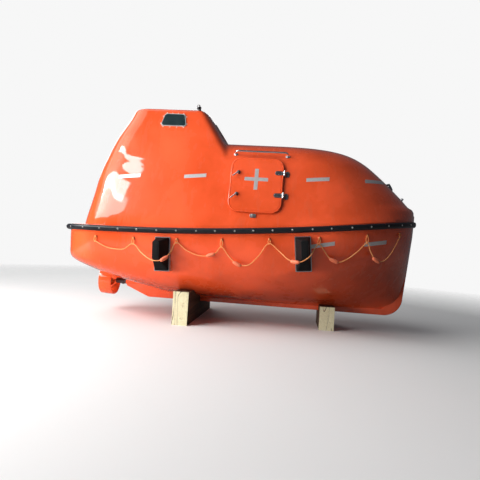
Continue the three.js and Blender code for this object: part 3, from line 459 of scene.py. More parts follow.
def piece(name, shape, paint, slot, body="boat", at=None, crease=30, bevel=0.0, replaces=(), segments=2,
          even=True):
    """One mesh object that rides on a body. shape is a mesh, a shape or a list of shapes, and at the frame
    they are drawn in. An edge sharper than crease stays sharp. With no paint, a mesh keeps its own."""
    mesh = mesh_of(placed(shape, at))
    mesh.name = name
    mesh.shade_smooth()
    mesh.set_sharp_from_angle(angle=math.radians(crease))
    if paint:
        mesh.materials.clear()
        mesh.materials.append(paint.material)
        mesh.polygons.foreach_set("material_index", [0] * len(mesh.polygons))
    made = bpy.data.objects.new(name, mesh)
    bpy.context.scene.collection.objects.link(made)
    if bevel:
        round_edges = made.modifiers.new("round edges", "BEVEL")
        round_edges.width = bevel
        round_edges.segments = segments
        round_edges.limit_method = "ANGLE"
        round_edges.angle_limit = math.radians(crease)
    if even:
        flat_faces = made.modifiers.new("flat faces", "WEIGHTED_NORMAL")
        flat_faces.keep_sharp = True
    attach(made, body)
    if replaces:
        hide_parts(*replaces)
    return made


MIRROR = Matrix.Diagonal((1, -1, 1, 1))


def both_sides(name, shape, paint, slot, bodies=("boat",), at=None, replaces="", **options):
    """The same piece to starboard, as drawn, and mirrored to port."""
    shape = placed(shape, at)
    made = []
    for side, body, place in (("starboard", bodies[0], Matrix()), ("port", bodies[-1], MIRROR)):
        nodes = [f"{node}_{side}" for node in replaces.split()]
        made.append(piece(f"{name}_{side}", moved(shape, place), paint, slot, body=body, replaces=nodes,
                          **options))
    return made


rope_points = []
for eye, tie_drop, loop in zip(EYES, TIE_DROPS, [*LOOPS, []]):
    rope_points += [beside_shell(*point) for point in [(eye, tie_drop, ROPE_OFF), *loop]]
rope_path, rope_length = curve_through(rope_points, ROPE_STEP)


def rope_section(step):
    """Three strands laid together: a round section with three lobes that turns along the rope."""
    lay = 2 * math.pi * step * ROPE_STEP / STRAND_PITCH
    angles = np.arange(ROPE_SIDES) * 2 * math.pi / ROPE_SIDES
    lobes = 1 - STRAND_DEPTH + STRAND_DEPTH * np.abs(np.cos((angles - lay) * STRANDS / 2)) * STRAND_SWELL
    radius = ROPE_DIAMETER / 2 * MM * lobes
    return np.stack([radius * np.cos(angles), radius * np.sin(angles)], axis=1)


rope_paint = Paint("laid rope", (0.82, 0.28, 0.07), 0.75, **{"Sheen Weight": 0.3})
fibre = rope_paint.noise(600, 4, vector=rope_paint.stretched(1, 1, 3))
worn = rope_paint.noise(14, 3).between(0.45, 0.7)
rope_colour = rope_paint.mix(worn, (0.85, 0.28, 0.07), (0.92, 0.40, 0.14))
rope_paint.feed(**{
    "Base Color": rope_paint.mix(fibre * 0.5, rope_colour, (0.55, 0.20, 0.06)),
    "Roughness": 0.6 + fibre * 0.3,
    "Normal": rope_paint.bump(fibre, 0.0006),
})

# Floats and beckets. Every loop but the aftmost carries one salmon-coloured foam float to hold on to. At
# each eye a short becket of thinner rope hangs from a small moulded pad and holds the lifeline.
FLOATS = [
    # forward position, drop below the sheer, distance out
    (-866, 358, 186),
    (-300, 308, 20),
    (52, 424, 20),
    (788, 400, 194),
    (1272, 408, 20),
    (1806, 430, 20),
]
FLOAT_LENGTH = 0.125
FLOAT_RADIUS = 0.025
FLOAT_PROFILE = [
    # share of the length, share of the radius
    (0, 0.30), (0.05, 0.62), (0.16, 0.88), (0.35, 1), (0.65, 1), (0.84, 0.88), (0.95, 0.62), (1, 0.30),
]
BECKET_RADIUS = 0.005
BECKET_STEP = 0.006
EYE_PAD = [
    # distance out from the shell, radius in metres
    (-4, 0.019), (8, 0.018), (12, 0.012),
]
float_paint = Paint("float foam", (0.82, 0.16, 0.07), 0.55)
pores = float_paint.noise(260, 2)
float_paint.feed(**{
    "Base Color": float_paint.mix(float_paint.noise(30, 3), (0.78, 0.15, 0.06), (0.86, 0.24, 0.13)),
    "Normal": float_paint.bump(pores, 0.0005),
})
becket_paint = Paint("eye pads", (0.62, 0.10, 0.03), 0.4)
becket_paint.feed(Roughness=0.3 + becket_paint.noise(90) * 0.3)


def nearest_on_rope(point):
    return int(np.argmin(np.linalg.norm(rope_path - np.array(point), axis=1)))


def float_shape(x, drop, off):
    """A float threaded on the rope, where the rope passes nearest to the given point."""
    middle = nearest_on_rope(beside_shell(x, drop, off))
    reach = int(FLOAT_LENGTH / 2 / ROPE_STEP)
    start, end = rope_path[middle - reach], rope_path[middle + reach]
    axis = (end - start) / np.linalg.norm(end - start)
    centre = rope_path[middle]
    path = [centre + axis * FLOAT_LENGTH * (share - 0.5) for share, _ in FLOAT_PROFILE]
    return pipe(path, [FLOAT_RADIUS * size for _, size in FLOAT_PROFILE], 20)


def becket_shape(x, tie_drop):
    """A short loop of thinner rope that hangs from an eye and holds the lifeline."""
    top = beside_shell(x, EYE_DROP - 12, 14)
    low = beside_shell(x, tie_drop + 12, 22)
    aft_side, fore_side = (beside_shell(x + out, (EYE_DROP + tie_drop) / 2, 15) for out in (-15, 15))
    loop, _ = curve_through([top, aft_side, low, fore_side, top], BECKET_STEP)
    return pipe(loop[:-1], BECKET_RADIUS, 8, loop=True)


def pad_shape(x):
    """The small round pad at an eye."""
    return pipe([beside_shell(x, EYE_DROP, off) for off, _ in EYE_PAD], [radius for _, radius in EYE_PAD],
                18)


beckets = both_sides("lifeline_beckets", [becket_shape(*tie) for tie in zip(EYES, TIE_DROPS)], rope_paint,
                     "rope")
both_sides("lifeline_pads", [pad_shape(x) for x in EYES], becket_paint, "orange_grp")
floats = both_sides("lifeline_floats", [float_shape(*place) for place in FLOATS], float_paint, "float_foam")
ropes = both_sides("lifeline_rope", sweep(rope_path, rope_section), rope_paint, "rope", replaces="lifeline",
                   crease=180)


# Gelcoat. Hull, canopy, doors, hatches and nozzle are glass-fibre with glossy orange gelcoat, which shows
# the weave faintly, has dulled a little in patches and carries thin streaks of dirt.
def gelcoat(name, colour, dirt=1.0, gloss=1.0):
    paint = Paint(name, colour, 0.28,
                  **{"Coat Weight": gloss, "Coat Roughness": 0.035, "Specular IOR Level": 0.15})
    cloudy = paint.noise(1.6, 4, 0.55)
    streaks = paint.noise(9, 4, 0.6, vector=paint.stretched(1, 1, 0.12)).between(0.56, 0.78)
    specks = paint.noise(180, 2).between(0.70, 0.78)
    lighter = tuple(min(1, c * 1.10 + 0.012) for c in colour)
    darker = tuple(c * 0.86 for c in colour)
    shade = paint.mix(cloudy.between(0.35, 0.65), darker, lighter)
    shade = paint.mix(streaks * 0.16 * dirt, shade, (0.32, 0.13, 0.07))
    shade = paint.mix(specks * 0.35 * dirt, shade, (0.20, 0.07, 0.03))
    waves = paint.noise(7, 2)
    weave = paint.noise(420, 2)
    paint.feed(**{
        "Base Color": shade,
        "Roughness": 0.20 + cloudy * 0.14 + streaks * 0.18,
        "Normal": paint.bump(waves, 0.004, 0.25, paint.bump(weave, 0.0002, 0.2)),
    })
    return paint


def clouded(name, colour, shades, scale, detail, roughness):
    """A plain paint whose colour drifts between two shades."""
    paint = Paint(name, colour, roughness)
    paint.feed(**{"Base Color": paint.mix(paint.noise(scale, detail), *shades)})
    return paint


orange = gelcoat("orange gelcoat", (0.78, 0.085, 0.018))
liner = clouded("cream liner", (0.72, 0.70, 0.62), [(0.66, 0.64, 0.56), (0.76, 0.74, 0.67)],
                scale=3, detail=4, roughness=0.4)
liner.feed(Roughness=0.35 + liner.noise(20) * 0.2)

# Hull. A deep glass-fibre shell on a long straight keel, hollow from the sole up, its bottom hollowed out
# over the nozzle at the stern. The keel, with its skeg and round forefoot, is moulded on as one narrow bar.
HULL_ROWS = [
    # share of the height up to the sheer, stern, crown, bow, breadth, quarter, shoulder, full
    [0.05, -720, 2, 2090, 40, 600, -160, 1.3],
    [0.075, -860, 6, 2210, 150, 700, -160, 1.25],
    [0.12, -1080, 0, 2280, 330, 750, -60, 1.3],
    [0.19, -1300, -20, 2330, 530, 800, 40, 1.4],
    [0.28, -1530, -90, 2370, 715, 800, 190, 1.5],
    [0.4, -1800, -200, 2395, 870, 650, 390, 1.6],
    [0.5, -2060, -180, 2410, 950, 550, 590, 1.7],
    [0.6, -2310, -70, 2420, 995, 500, 790, 1.8],
    [0.72, SHELL_STERN, 42, 2430, 1025, 490, 990, 1.9],
    [0.96, *RIM_LEVEL],
    [1, *RIM_LEVEL],
]
HULL_WALL = 75
SOLE_INSET = 95
SOLE_Z = 545
STERN_FILL = [120, 170, 130, 40]
RIM_INSIDE = (-2150, 42, 2374, 967, 450, 1139, 2)
hull_shares = [row[0] for row in HULL_ROWS]
hull_levels = [row[1:] for row in HULL_ROWS]


def hull_breadth(x, z):
    share = (z - KEEL_Z) / (sheer(x) - KEEL_Z)
    return breadth_at(flowing(hull_shares, hull_levels, share), x)


def ring(level, height, **steps):
    x, y = half_line(level, **steps)
    return whole_line(x, y, height(x)) * MM


hull_rings = []
for share in np.concatenate([np.linspace(0.05, 0.12, 6)[:-1], np.linspace(0.12, 0.72, 30)[:-1],
                             np.linspace(0.72, 1, 9)]):
    level = flowing(hull_shares, hull_levels, share)
    hull_rings.append(ring(level.reshape(-1), lambda x: KEEL_Z + share * (sheer(x) - KEEL_Z)))
stern, crown, bow, breadth, quarter, shoulder, full = HULL_ROWS[4][1:]
sole = (stern + SOLE_INSET, crown, bow - SOLE_INSET, breadth - SOLE_INSET, quarter, shoulder, full)
room_rings = [ring(sole, lambda x: SOLE_Z + 0 * x)]
for row, fill in zip(HULL_ROWS[5:9], STERN_FILL):
    stern, _, bow, breadth, quarter, shoulder, full = row[1:]
    inside = (stern + HULL_WALL + fill, 0, bow - HULL_WALL, breadth - HULL_WALL, quarter, shoulder, full)
    room_rings.append(ring(inside, lambda x: KEEL_Z + row[0] * (sheer(x) - KEEL_Z)))
room_rings += [ring(RIM_INSIDE, lambda x: sheer(x) + rise) for rise in (-60, 60)]


def capped(rings):
    """A skin over level rings whose two ends are closed by strips from side to side."""
    corners, faces = skin(rings, ends=False)
    count = len(rings[0])
    for base, turned in ((0, False), ((len(rings) - 1) * count, True)):
        strip = [(0, 1, count - 1)] + [(j, j + 1, count - j - 1, count - j)
                                       for j in range(1, count // 2 - 1)]
        strip.append((count // 2 - 1, count // 2, count // 2 + 1))
        faces += [tuple(base + i for i in (face[::-1] if turned else face)) for face in strip]
    return corners, faces


def carved(base, *cuts):
    """A solid after others have been cut out of it or met it. Each cut is an operation and a mesh."""
    helpers = [bpy.data.objects.new("helper", base)]
    for operation, cutter in cuts:
        helpers.append(bpy.data.objects.new("helper", cutter))
        cut = helpers[0].modifiers.new("cut", "BOOLEAN")
        cut.operation = operation
        cut.solver = "MANIFOLD"
        cut.object = helpers[-1]
    for helper in helpers:
        bpy.context.scene.collection.objects.link(helper)
    finished = helpers[0].evaluated_get(bpy.context.evaluated_depsgraph_get())
    result = bpy.data.meshes.new_from_object(finished)
    for helper in helpers:
        bpy.data.objects.remove(helper)
    return result


shell_paints = [orange.material, liner.material]
hull_outside = mesh_of(capped(hull_rings), 0, shell_paints)
hull_room = mesh_of(capped(room_rings), 1, shell_paints)
piece("hull_shell", carved(hull_outside, ("DIFFERENCE", hull_room)), None, "orange_grp", crease=50,
      replaces=["hull"], even=False)

KEEL_THICK = 64
FOREFOOT_RADIUS = 260
STEM_FOOT_X = 2380
STEM_X = 2470
stem_top = sheer(SHELL_BOW) - 45
forefoot = [(STEM_FOOT_X - FOREFOOT_RADIUS * (1 - math.sin(a)),
             KEEL_Z + FOREFOOT_RADIUS * (1 - math.cos(a))) for a in np.linspace(0, math.pi / 2, 15)]
keel_outline = [(-1762, 560), (-1752, 384), (-1400, KEEL_Z), *forefoot, (STEM_X - 4, 1400),
                (STEM_X, stem_top), (2380, stem_top), (2300, 520), (2100, 330), (-960, 330), (-1560, 560)]


def slab(outline, thickness):
    """A flat piece upright on the centreline, from an outline in x and z and its thickness."""
    return skin([[(x * MM, y * MM, z * MM) for x, z in outline] for y in (-thickness / 2, thickness / 2)])


piece("keel", slab(keel_outline, KEEL_THICK), orange, "orange_grp", crease=25, bevel=0.010, segments=3)

# Canopy. One glossy moulding closes the boat from the gunwale up, 50 mm thick with its foam, and the
# steering tower aft is faired into it, with its sides in the same planes. Doors, windows and hatches are
# cut out of it.
SIDE_FOOT_Z = 1470
SIDE_FOOT_Y = 1012
SIDE_SLOPE = 0.288
SHOULDER_Z = 2280
SHOULDER_EASE = 90
CANOPY_CROWN = 0.04
CANOPY_WALL = 50
RIM_WALL = 75
SEAM = 0.4
CANOPY_ROWS = [
    # middle height, share of the sheer's rise, stern, bow, breadth, quarter, shoulder, full
    [1352, 1, -2225, SHELL_BOW - 1, 1042, 450, 1177, 2],
    [SIDE_FOOT_Z, 0.97, -2200, SHELL_BOW - 4, SIDE_FOOT_Y, 440, 1167, 2.05],
    [1700, 0.5, -2150, 2340, 946, 430, 1085, 2.1],
    [2000, 0.2, -2095, 2115, 859, 400, 975, 2.2],
    [SHOULDER_Z, 0, -1998, 1840, 779, 360, 820, 2.3],
    [2385, 0, -1940, 1700, 712, 330, 720, 2.3],
    [2470, 0, -1850, 1540, 610, 300, 640, 2.3],
    [2532, 0, -1700, 1350, 470, 250, 520, 2.3],
    [2572, 0, -1500, 1140, 300, 200, 420, 2.2],
    [2595, 0, -1200, 870, 120, 100, 220, 2],
    [2600, 0, -1000, 700, 1, 60, 200, 2],
]
TOWER_ROWS = [
    # height, stern, front, inset from the side plane, quarter, depth of the front corner
    [1950, -2095, 155, 10, 395, 200],
    [2280, -2001, -85, -3, 360, 200],
    [2520, -1913, -257, 0, 340, 190],
    [2880, -1722, -499, 0, 300, 170],
    [2984, -1680, -575, 0, 260, 145],
]
TOWER_EDGE = {"depth": 46, "stern": 20, "front": 24, "side": 36}
TOWER_CORNER_FULL = 4
AFT_FOCUS = -1200
FORE_FOCUS = 900
FOCUS_Z = 1750
FAIRING = 90
FINE_OUTLINE = {"transom": 14, "quarter_steps": 24, "side": 140, "bow_steps": 60}
COARSE_OUTLINE = {"transom": 6, "quarter_steps": 10, "side": 60, "bow_steps": 24}
FINE_BANDS = [(30, 24), (58, 34), (70, 40), (90, 20)]
COARSE_BANDS = [(30, 8), (58, 14), (70, 14), (90, 8)]


def side_breadth(z):
    return SIDE_FOOT_Y - (z - SIDE_FOOT_Z) * SIDE_SLOPE


def canopy_half(wall=0):
    """The canopy's half-breadth as a function of position and height, for its outside or its inside."""
    rows = np.array(CANOPY_ROWS, float)
    if wall:
        inset = np.where(rows[:, 0] < SIDE_FOOT_Z, RIM_WALL, wall)
        rows[:, 0] -= wall * np.clip((rows[:, 0] - SHOULDER_Z) / 290, 0, 1)
        rows[:, 2] += inset
        rows[:, 3] -= inset
        rows[:, 4] = np.maximum(rows[:, 4] - inset, 1)
        rows[:, 6] -= inset / 2
    top = rows[-1, 0]
    middle = np.linspace(rows[0, 0], top, 1300)
    lines = flowing(-np.sqrt(top - rows[:, 0]), rows[:, 1:], -np.sqrt(top - middle))

    def half(x, z):
        level = z
        for _ in range(16):
            level = z - np.interp(level, middle, lines[:, 0]) * (sheer(x) - SHEER_MID)
        row = [np.interp(level, middle, lines[:, i]) for i in range(1, 7)]
        stern, bow, breadth, quarter, shoulder, full = row
        crown = breadth * CANOPY_CROWN
        ease = np.clip((level - SHOULDER_Z) / SHOULDER_EASE + 1, 0, 1)
        above_foot = np.clip((level - rows[0, 0]) / (SIDE_FOOT_Z - rows[0, 0]), 0, 1)
        on_side = above_foot * (1 - ease ** 2 * (3 - 2 * ease))
        breadth = breadth + on_side * (side_breadth(z) - wall - breadth)
        outline = np.stack([stern, crown, bow, breadth, quarter, shoulder, full], axis=-1)
        return np.where(level > top, -1, breadth_at(outline, x))

    return half


def tower_half(wall=0):
    """The steering tower's half-breadth as a function of position and height."""
    rows = np.array(TOWER_ROWS, float)
    rows[:, 0] -= wall * np.clip((rows[:, 0] - 2520) / 460, 0, 1)
    top = rows[-1, 0]
    heights = np.linspace(rows[0, 0], top, 600)
    lines = flowing(rows[:, 0], rows[:, 1:], heights)

    def half(x, z):
        stern, front, inset, quarter, corner = (np.interp(z, heights, lines[:, i]) for i in range(5))
        rise = np.clip((z - top) / TOWER_EDGE["depth"] + 1, 0, 1)
        draw = 1 - np.sqrt(1 - rise ** 2)
        plane = side_breadth(np.maximum(z, rows[0, 0]))
        stern = stern + wall + draw * TOWER_EDGE["stern"]
        front = front - wall - draw * TOWER_EDGE["front"]
        breadth = plane - inset - wall - draw * TOWER_EDGE["side"]
        outline = [stern, plane * CANOPY_CROWN, front, breadth, quarter, front - corner,
                   TOWER_CORNER_FULL + 0 * x]
        return np.where(z > top, -1, breadth_at(np.stack(np.broadcast_arrays(*outline), axis=-1), x))

    return half


def upper_rings(wall, bands, outline):
    """Rings of points from the canopy's foot up to its ridge, canopy and tower faired into one."""
    foot_z, _, stern, bow, breadth, quarter, shoulder, full = CANOPY_ROWS[0]
    inset = RIM_WALL if wall else 0
    breadth -= inset
    rim = (stern + inset, breadth * CANOPY_CROWN, bow - inset, breadth, quarter, shoulder - inset / 2, full)
    x, y = half_line(rim, **outline)
    z = foot_z + sheer(x) - SHEER_MID
    focus = np.clip(x, AFT_FOCUS, FORE_FOCUS)
    reach = np.hypot(x - focus, y)
    way_x, way_y = (x - focus) / reach, y / reach
    angles = [np.arctan2(z - FOCUS_Z, reach)]
    for end, count in bands:
        start = angles[-1]
        angles += [start + (math.radians(end) - start) * k / count for k in range(1, count + 1)]
    angle = np.array(angles)

    def point(run):
        level = np.cos(angle)
        return focus + way_x * level * run, way_y * level * run, FOCUS_Z + np.sin(angle) * run

    def leaves(half):
        near, far = np.zeros(angle.shape), np.full(angle.shape, 2600.0)
        for _ in range(34):
            middle = (near + far) / 2
            px, py, pz = point(middle)
            inside = half(px, pz) > py
            near, far = np.where(inside, middle, near), np.where(inside, far, middle)
        return near

    def facing(run):
        surface = np.stack(point(run), axis=-1)
        normal = np.cross(np.gradient(surface, axis=0), np.gradient(surface, axis=1))
        return normal / np.maximum(np.linalg.norm(normal, axis=-1, keepdims=True), 1e-9)

    canopy_run, tower_run = leaves(canopy_half(wall)), leaves(tower_half(wall))
    agree = (facing(canopy_run) * facing(tower_run)).sum(axis=-1)
    width = FAIRING * np.clip(1 - agree, 0, 1) + 1e-6
    close = np.maximum(width - np.abs(canopy_run - tower_run), 0)
    run = np.maximum(canopy_run, tower_run) + close ** 2 / (4 * width)
    return [whole_line(px, py, pz) * MM for px, py, pz in zip(*point(run))]


def drawn_in(level, inset):
    stern, crown, bow, breadth, quarter, shoulder, full = level
    return stern + inset, crown, bow - inset, breadth - inset, quarter, shoulder, full


outside_rings = [ring(drawn_in(RIM_LEVEL, inset), lambda x: sheer(x) + rise, **FINE_OUTLINE)
                 for inset, rise in ((0, SEAM), (0, 35), (1.5, 39.5), (5, 42))]
outside = mesh_of(capped(outside_rings + upper_rings(0, FINE_BANDS, FINE_OUTLINE)), 0, shell_paints)
inside_rings = upper_rings(CANOPY_WALL, COARSE_BANDS, COARSE_OUTLINE)
below_rim = [p - (0, 0, 0.12) for p in inside_rings[0]]
inside = mesh_of(capped([np.array(below_rim)] + inside_rings), 1, shell_paints)
shell = carved(outside, ("DIFFERENCE", inside))

# The openings are rounded rectangles cut square to the surface. Each frame has u along the opening's width,
# v up its slope and n outwards.
CORNER_WEIGHT = math.sqrt(0.5)
FORWARD = (1, 0, 0)
TO_PORT = (0, 1, 0)
TO_STARBOARD = (0, -1, 0)
UPWARD = (0, 0, 1)


def frame_at(across, upward, place):
    across, upward = Vector(across).normalized(), Vector(upward).normalized()
    turn = Matrix((across, upward, across.cross(upward))).transposed().to_4x4()
    return Matrix.Translation(Vector(place) * MM) @ turn @ Matrix.Scale(MM, 4)


def side_frame(x, z):
    return frame_at(FORWARD, (0, SIDE_SLOPE, 1), (x, -side_breadth(z), z))


def raked_frame(low, high, direction):
    middle = ((low[0] + high[0]) / 2, 0, (low[1] + high[1]) / 2)
    return frame_at((0, direction, 0), (high[0] - low[0], 0, high[1] - low[1]), middle)


def cornered(points, cut, steps=8, closed=True):
    """An outline or a path with its corners rounded. cut is how far from a corner its arc begins."""
    points = [np.array(p, float) for p in points]
    count = len(points)
    result = [] if closed else [points[0]]
    for i in range(count) if closed else range(1, count - 1):
        corner, before, after = points[i], points[i - 1], points[(i + 1) % count]
        start = corner + (before - corner) / np.linalg.norm(before - corner) * cut
        end = corner + (after - corner) / np.linalg.norm(after - corner) * cut
        for t in np.linspace(0, 1, steps + 1):
            pull = 2 * t * (1 - t) * CORNER_WEIGHT
            result.append(((1 - t) ** 2 * start + pull * corner + t * t * end)
                          / ((1 - t) ** 2 + pull + t * t))
    return result if closed else result + [points[-1]]


def rectangle(width, height, corner, u=0, v=0, steps=8):
    """The outline of a rounded rectangle as a function of how far it is drawn in."""
    def outline(inset=0):
        across, tall = width / 2 - inset, height / 2 - inset
        square = [(u - across, v - tall), (u + across, v - tall), (u + across, v + tall),
                  (u - across, v + tall)]
        return cornered(square, max(corner - inset, 1), steps)
    return outline


def window_outline(bottom, top, height, shift):
    def outline(inset=0):
        low, high = -height / 2 + inset, height / 2 - inset
        corners = [(-bottom / 2 + inset, low), (bottom / 2 - inset, low),
                   (top / 2 - inset + shift, high), (-top / 2 + inset + shift, high)]
        return cornered(corners, 32)
    return outline


def pressed(outline, profile, loop=False):
    """A plate: an outline carried through pairs of how far it is drawn in and its height."""
    return skin([[(u, v, n) for u, v in outline(inset)] for inset, n in profile], loop=loop)


def prism(outline, depth, height, place, inset=0):
    """A straight block with an outline, from a depth under the surface to a height over it."""
    return moved(pressed(outline, [(inset, -depth), (inset, height)]), place)


DOOR_SIZE = (700, 775, 140)
DOOR_LAP = 32
door_frame = side_frame(220, 1925)
door_outline = rectangle(*DOOR_SIZE, steps=14)
SIDE_WINDOW = window_outline(340, 262, 166, 6)
FRONT_WINDOW = window_outline(640, 600, 190, 0)
AFT_WINDOW = window_outline(560, 500, 190, 0)
side_window_frame = side_frame(-1013, 2815)
front_window_frame = raked_frame((-338, 2640), (-499, 2880), 1)
aft_window_frame = raked_frame((-1913, 2520), (-1722, 2880), -1)
HATCH_CORNER = 90
HATCH_MARGIN = 8
HATCHES = {
    # frame, width, height
    "bow": (raked_frame((2340, 1822), (2005, 2137), 1), 440, 340),
    "stern": (raked_frame((-2181, 1500), (-2067, 2070), -1), 520, 500),
}
HATCH_DEPTH = 160

openings = [prism(door_outline, 90, 60, door_frame, DOOR_LAP),
            prism(SIDE_WINDOW, 90, 60, side_window_frame)]
openings += [moved(opening, MIRROR) for opening in openings]
openings += [prism(FRONT_WINDOW, 120, 60, front_window_frame), prism(AFT_WINDOW, 120, 60, aft_window_frame)]
openings += [prism(rectangle(width, height, HATCH_CORNER), HATCH_DEPTH, HATCH_DEPTH, hatch_frame)
             for hatch_frame, width, height in HATCHES.values()]
cuts = [("DIFFERENCE", mesh_of(opening, 0, shell_paints)) for opening in openings]
piece("canopy_shell", carved(shell, *cuts), None, "orange_grp", crease=40,
      replaces=["canopy", "steering_tower"], even=False)

# Stem band. A band of laminate, as thick as the keel, runs up the canopy over the stem. It is a rubbing
# strip for the bow, with its edges rounded.
STEM_BAND = [(2405, 1608), (2474, 1608), (2474, 1690), (2462, 1704), (2405, 1704)]
piece("stem_band", slab(STEM_BAND, KEEL_THICK), orange, "orange_grp", bevel=0.006, segments=3)

# Gunwale fender. A black rubber D-section runs all round the seam of hull and canopy, and is held by a flat
# bar with bolts in its groove, about every 250 mm.
FENDER_PROUD = 55
FENDER_PROUD_AT_BOW = 35
FENDER_HALF_HEIGHT = 39
FENDER_FLAT = 14
fender_curve = [(FENDER_FLAT + (FENDER_PROUD - FENDER_FLAT) * math.cos(a) ** 0.8,
                 FENDER_HALF_HEIGHT * math.sin(a)) for a in np.radians(np.linspace(-80, 80, 25))]
FENDER_SECTION = [(1, -FENDER_HALF_HEIGHT), *fender_curve, (1, FENDER_HALF_HEIGHT), (1, 0)]
FENDER_STEPS = {"transom": 12, "quarter_steps": 24, "side": 60, "bow_steps": 50}


def fender_level(off):
    """The level line that lies a distance out from the seam, and less far out at the bow."""
    stern, crown, bow, breadth, quarter, shoulder, full = RIM_LEVEL
    bow += off * FENDER_PROUD_AT_BOW / FENDER_PROUD
    return stern - off, crown, bow, breadth + off, quarter + off, shoulder, full


def rubber(name, colour, roughness=0.45, dustiness=0.6, gloss=0.35):
    paint = Paint(name, colour, roughness, **{"Specular IOR Level": gloss})
    dust = paint.noise(5, 5, 0.65).between(0.52, 0.80)
    grain = paint.noise(350, 3)
    scuffs = paint.noise(40, 4, 0.7, vector=paint.stretched(0.3, 1, 1)).between(0.62, 0.75)
    dusty = tuple(c * 1.6 + 0.02 for c in colour)
    paint.feed(**{
        "Base Color": paint.mix(scuffs * dustiness / 2, paint.mix(dust * dustiness, colour, dusty),
                                (0.10, 0.10, 0.105)),
        "Roughness": roughness - 0.1 + dust * 0.25 + grain * 0.08,
        "Normal": paint.bump(grain, 0.0006, 0.4),
    })
    return paint


black_rubber = rubber("black rubber", (0.009, 0.010, 0.013), 0.38, 0.3)
fender_rings = [ring(fender_level(off), lambda x: sheer(x) + rise, **FENDER_STEPS)
                for off, rise in FENDER_SECTION]
piece("gunwale_fender_rubber", skin(fender_rings, loop=True), black_rubber, "fender_rubber", crease=50,
      replaces=["gunwale_fender"])

BOLT_PLACES = [-1804, -1549, -1296, -1028, -767, -503, -255, 0, 240, 486, 734, 986, 1221, 1477, 1722, 1956,
               2155]
BOLT_SPACING = 240
BOLT_END_GAP = 60
WASHER_PROFILE = [(12, -2), (12, 1.5), (10.5, 2.5)]


def metal(name, colour, roughness, grime=0.3, brushed=60):
    paint = Paint(name, colour, roughness, Metallic=1.0)
    blotches = paint.noise(25, 4, 0.6)
    fine = paint.noise(brushed * 6, 3, vector=paint.stretched(1, 1, 0.25))
    dirt = paint.noise(60, 4, 0.65).between(0.55, 0.8)
    dull = tuple(c * 0.55 for c in colour)
    paint.feed(**{
        "Base Color": paint.mix(dirt * grime, paint.mix(blotches, colour, tuple(c * 0.86 for c in colour)),
                                dull),
        "Roughness": roughness * 0.8 + blotches * 0.12 + dirt * grime * 0.4,
        "Metallic": 1 - dirt * grime * 0.5,
        "Normal": paint.bump(fine, 0.0002, 0.3),
    })
    return paint


stainless = metal("polished stainless", (0.80, 0.81, 0.82), 0.18, 0.15)
galvanised = metal("galvanised steel", (0.58, 0.60, 0.62), 0.36, 0.5, 20)
dark_steel = metal("grey painted steel", (0.20, 0.21, 0.23), 0.38, 0.35)
bolt_steel = metal("bolt heads", (0.70, 0.69, 0.66), 0.30, 0.3)


def turned(profile, u=0, v=0, sides=24, loop=False):
    """A round piece about an axis along n, from pairs of radius and height."""
    return skin([[(u + a, v + b, n) for a, b in circle(radius, sides)] for radius, n in profile], loop=loop)


def screw(u, v, n, radius=7.0, sides=12):
    """A low domed bolt or screw head that stands on height n."""
    return turned([(radius * 0.9, n - 1), (radius, n), (radius, n + radius * 0.25),
                   (radius * 0.75, n + radius * 0.5), (radius * 0.3, n + radius * 0.58)], u, v, sides)


def fender_bolts():
    """A washer and a head at each bolt along the starboard half of the fender."""
    x, y = half_line(fender_level(FENDER_PROUD - 1), **FENDER_STEPS)
    run = distance_along(np.stack([x, y], axis=1))
    side = slice(FENDER_STEPS["transom"], None)
    places = np.interp(BOLT_PLACES, x[side], run[side])
    places = [*places, *np.arange(places[0] - BOLT_SPACING, BOLT_END_GAP, -BOLT_SPACING),
              *np.arange(places[-1] + BOLT_SPACING, run[-1] - BOLT_END_GAP, BOLT_SPACING)]
    heads = []
    for place in places:
        px, py = np.interp(place, run, x), np.interp(place, run, y)
        dx, dy = (np.interp(place + 5, run, line) - np.interp(place - 5, run, line) for line in (x, y))
        head_frame = frame_at((dx, -dy, 0), UPWARD, (px, -py, sheer(px)))
        heads.append(placed([turned(WASHER_PROFILE), screw(0, 0, 2.5, 8)], head_frame))
    return heads


both_sides("fender_bolts", fender_bolts(), bolt_steel, "galvanised_steel")

# Side doors. A flat moulded door closes each opening from outside on a rubber seal. It has wide round
# corners, a thin pressed lip and two grey hinges at its forward edge, and two lever handles clamp it.
DOOR_FACE = 32
DOORS = ["starboard_door", "port_door"]
DOOR_PROFILE = [(48, -46), (42, -45), (40, -42), (40, 5), (14, 5.5), (4, 6), (1, 7.5), (0, 10), (0, 26),
                (1, 29.5), (4, 31.6), (8, DOOR_FACE), (16, DOOR_FACE), (18.5, 28.6), (23, 28.6),
                (25.5, DOOR_FACE), (60, DOOR_FACE)]
both_sides("door_panel", pressed(door_outline, DOOR_PROFILE), orange, "orange_grp", bodies=DOORS,
           at=door_frame, crease=40, replaces="door")

seal_paint = rubber("door seals", (0.015, 0.015, 0.016), 0.6)
SEAL_SECTION = [(16, 0.4), (12, 0.4), (10, 2.6), (12, 4.8), (18, 5.2), (22, 3.0), (20, 0.4)]
both_sides("door_seal", pressed(door_outline, SEAL_SECTION, loop=True), seal_paint, "fender_rubber",
           at=door_frame)

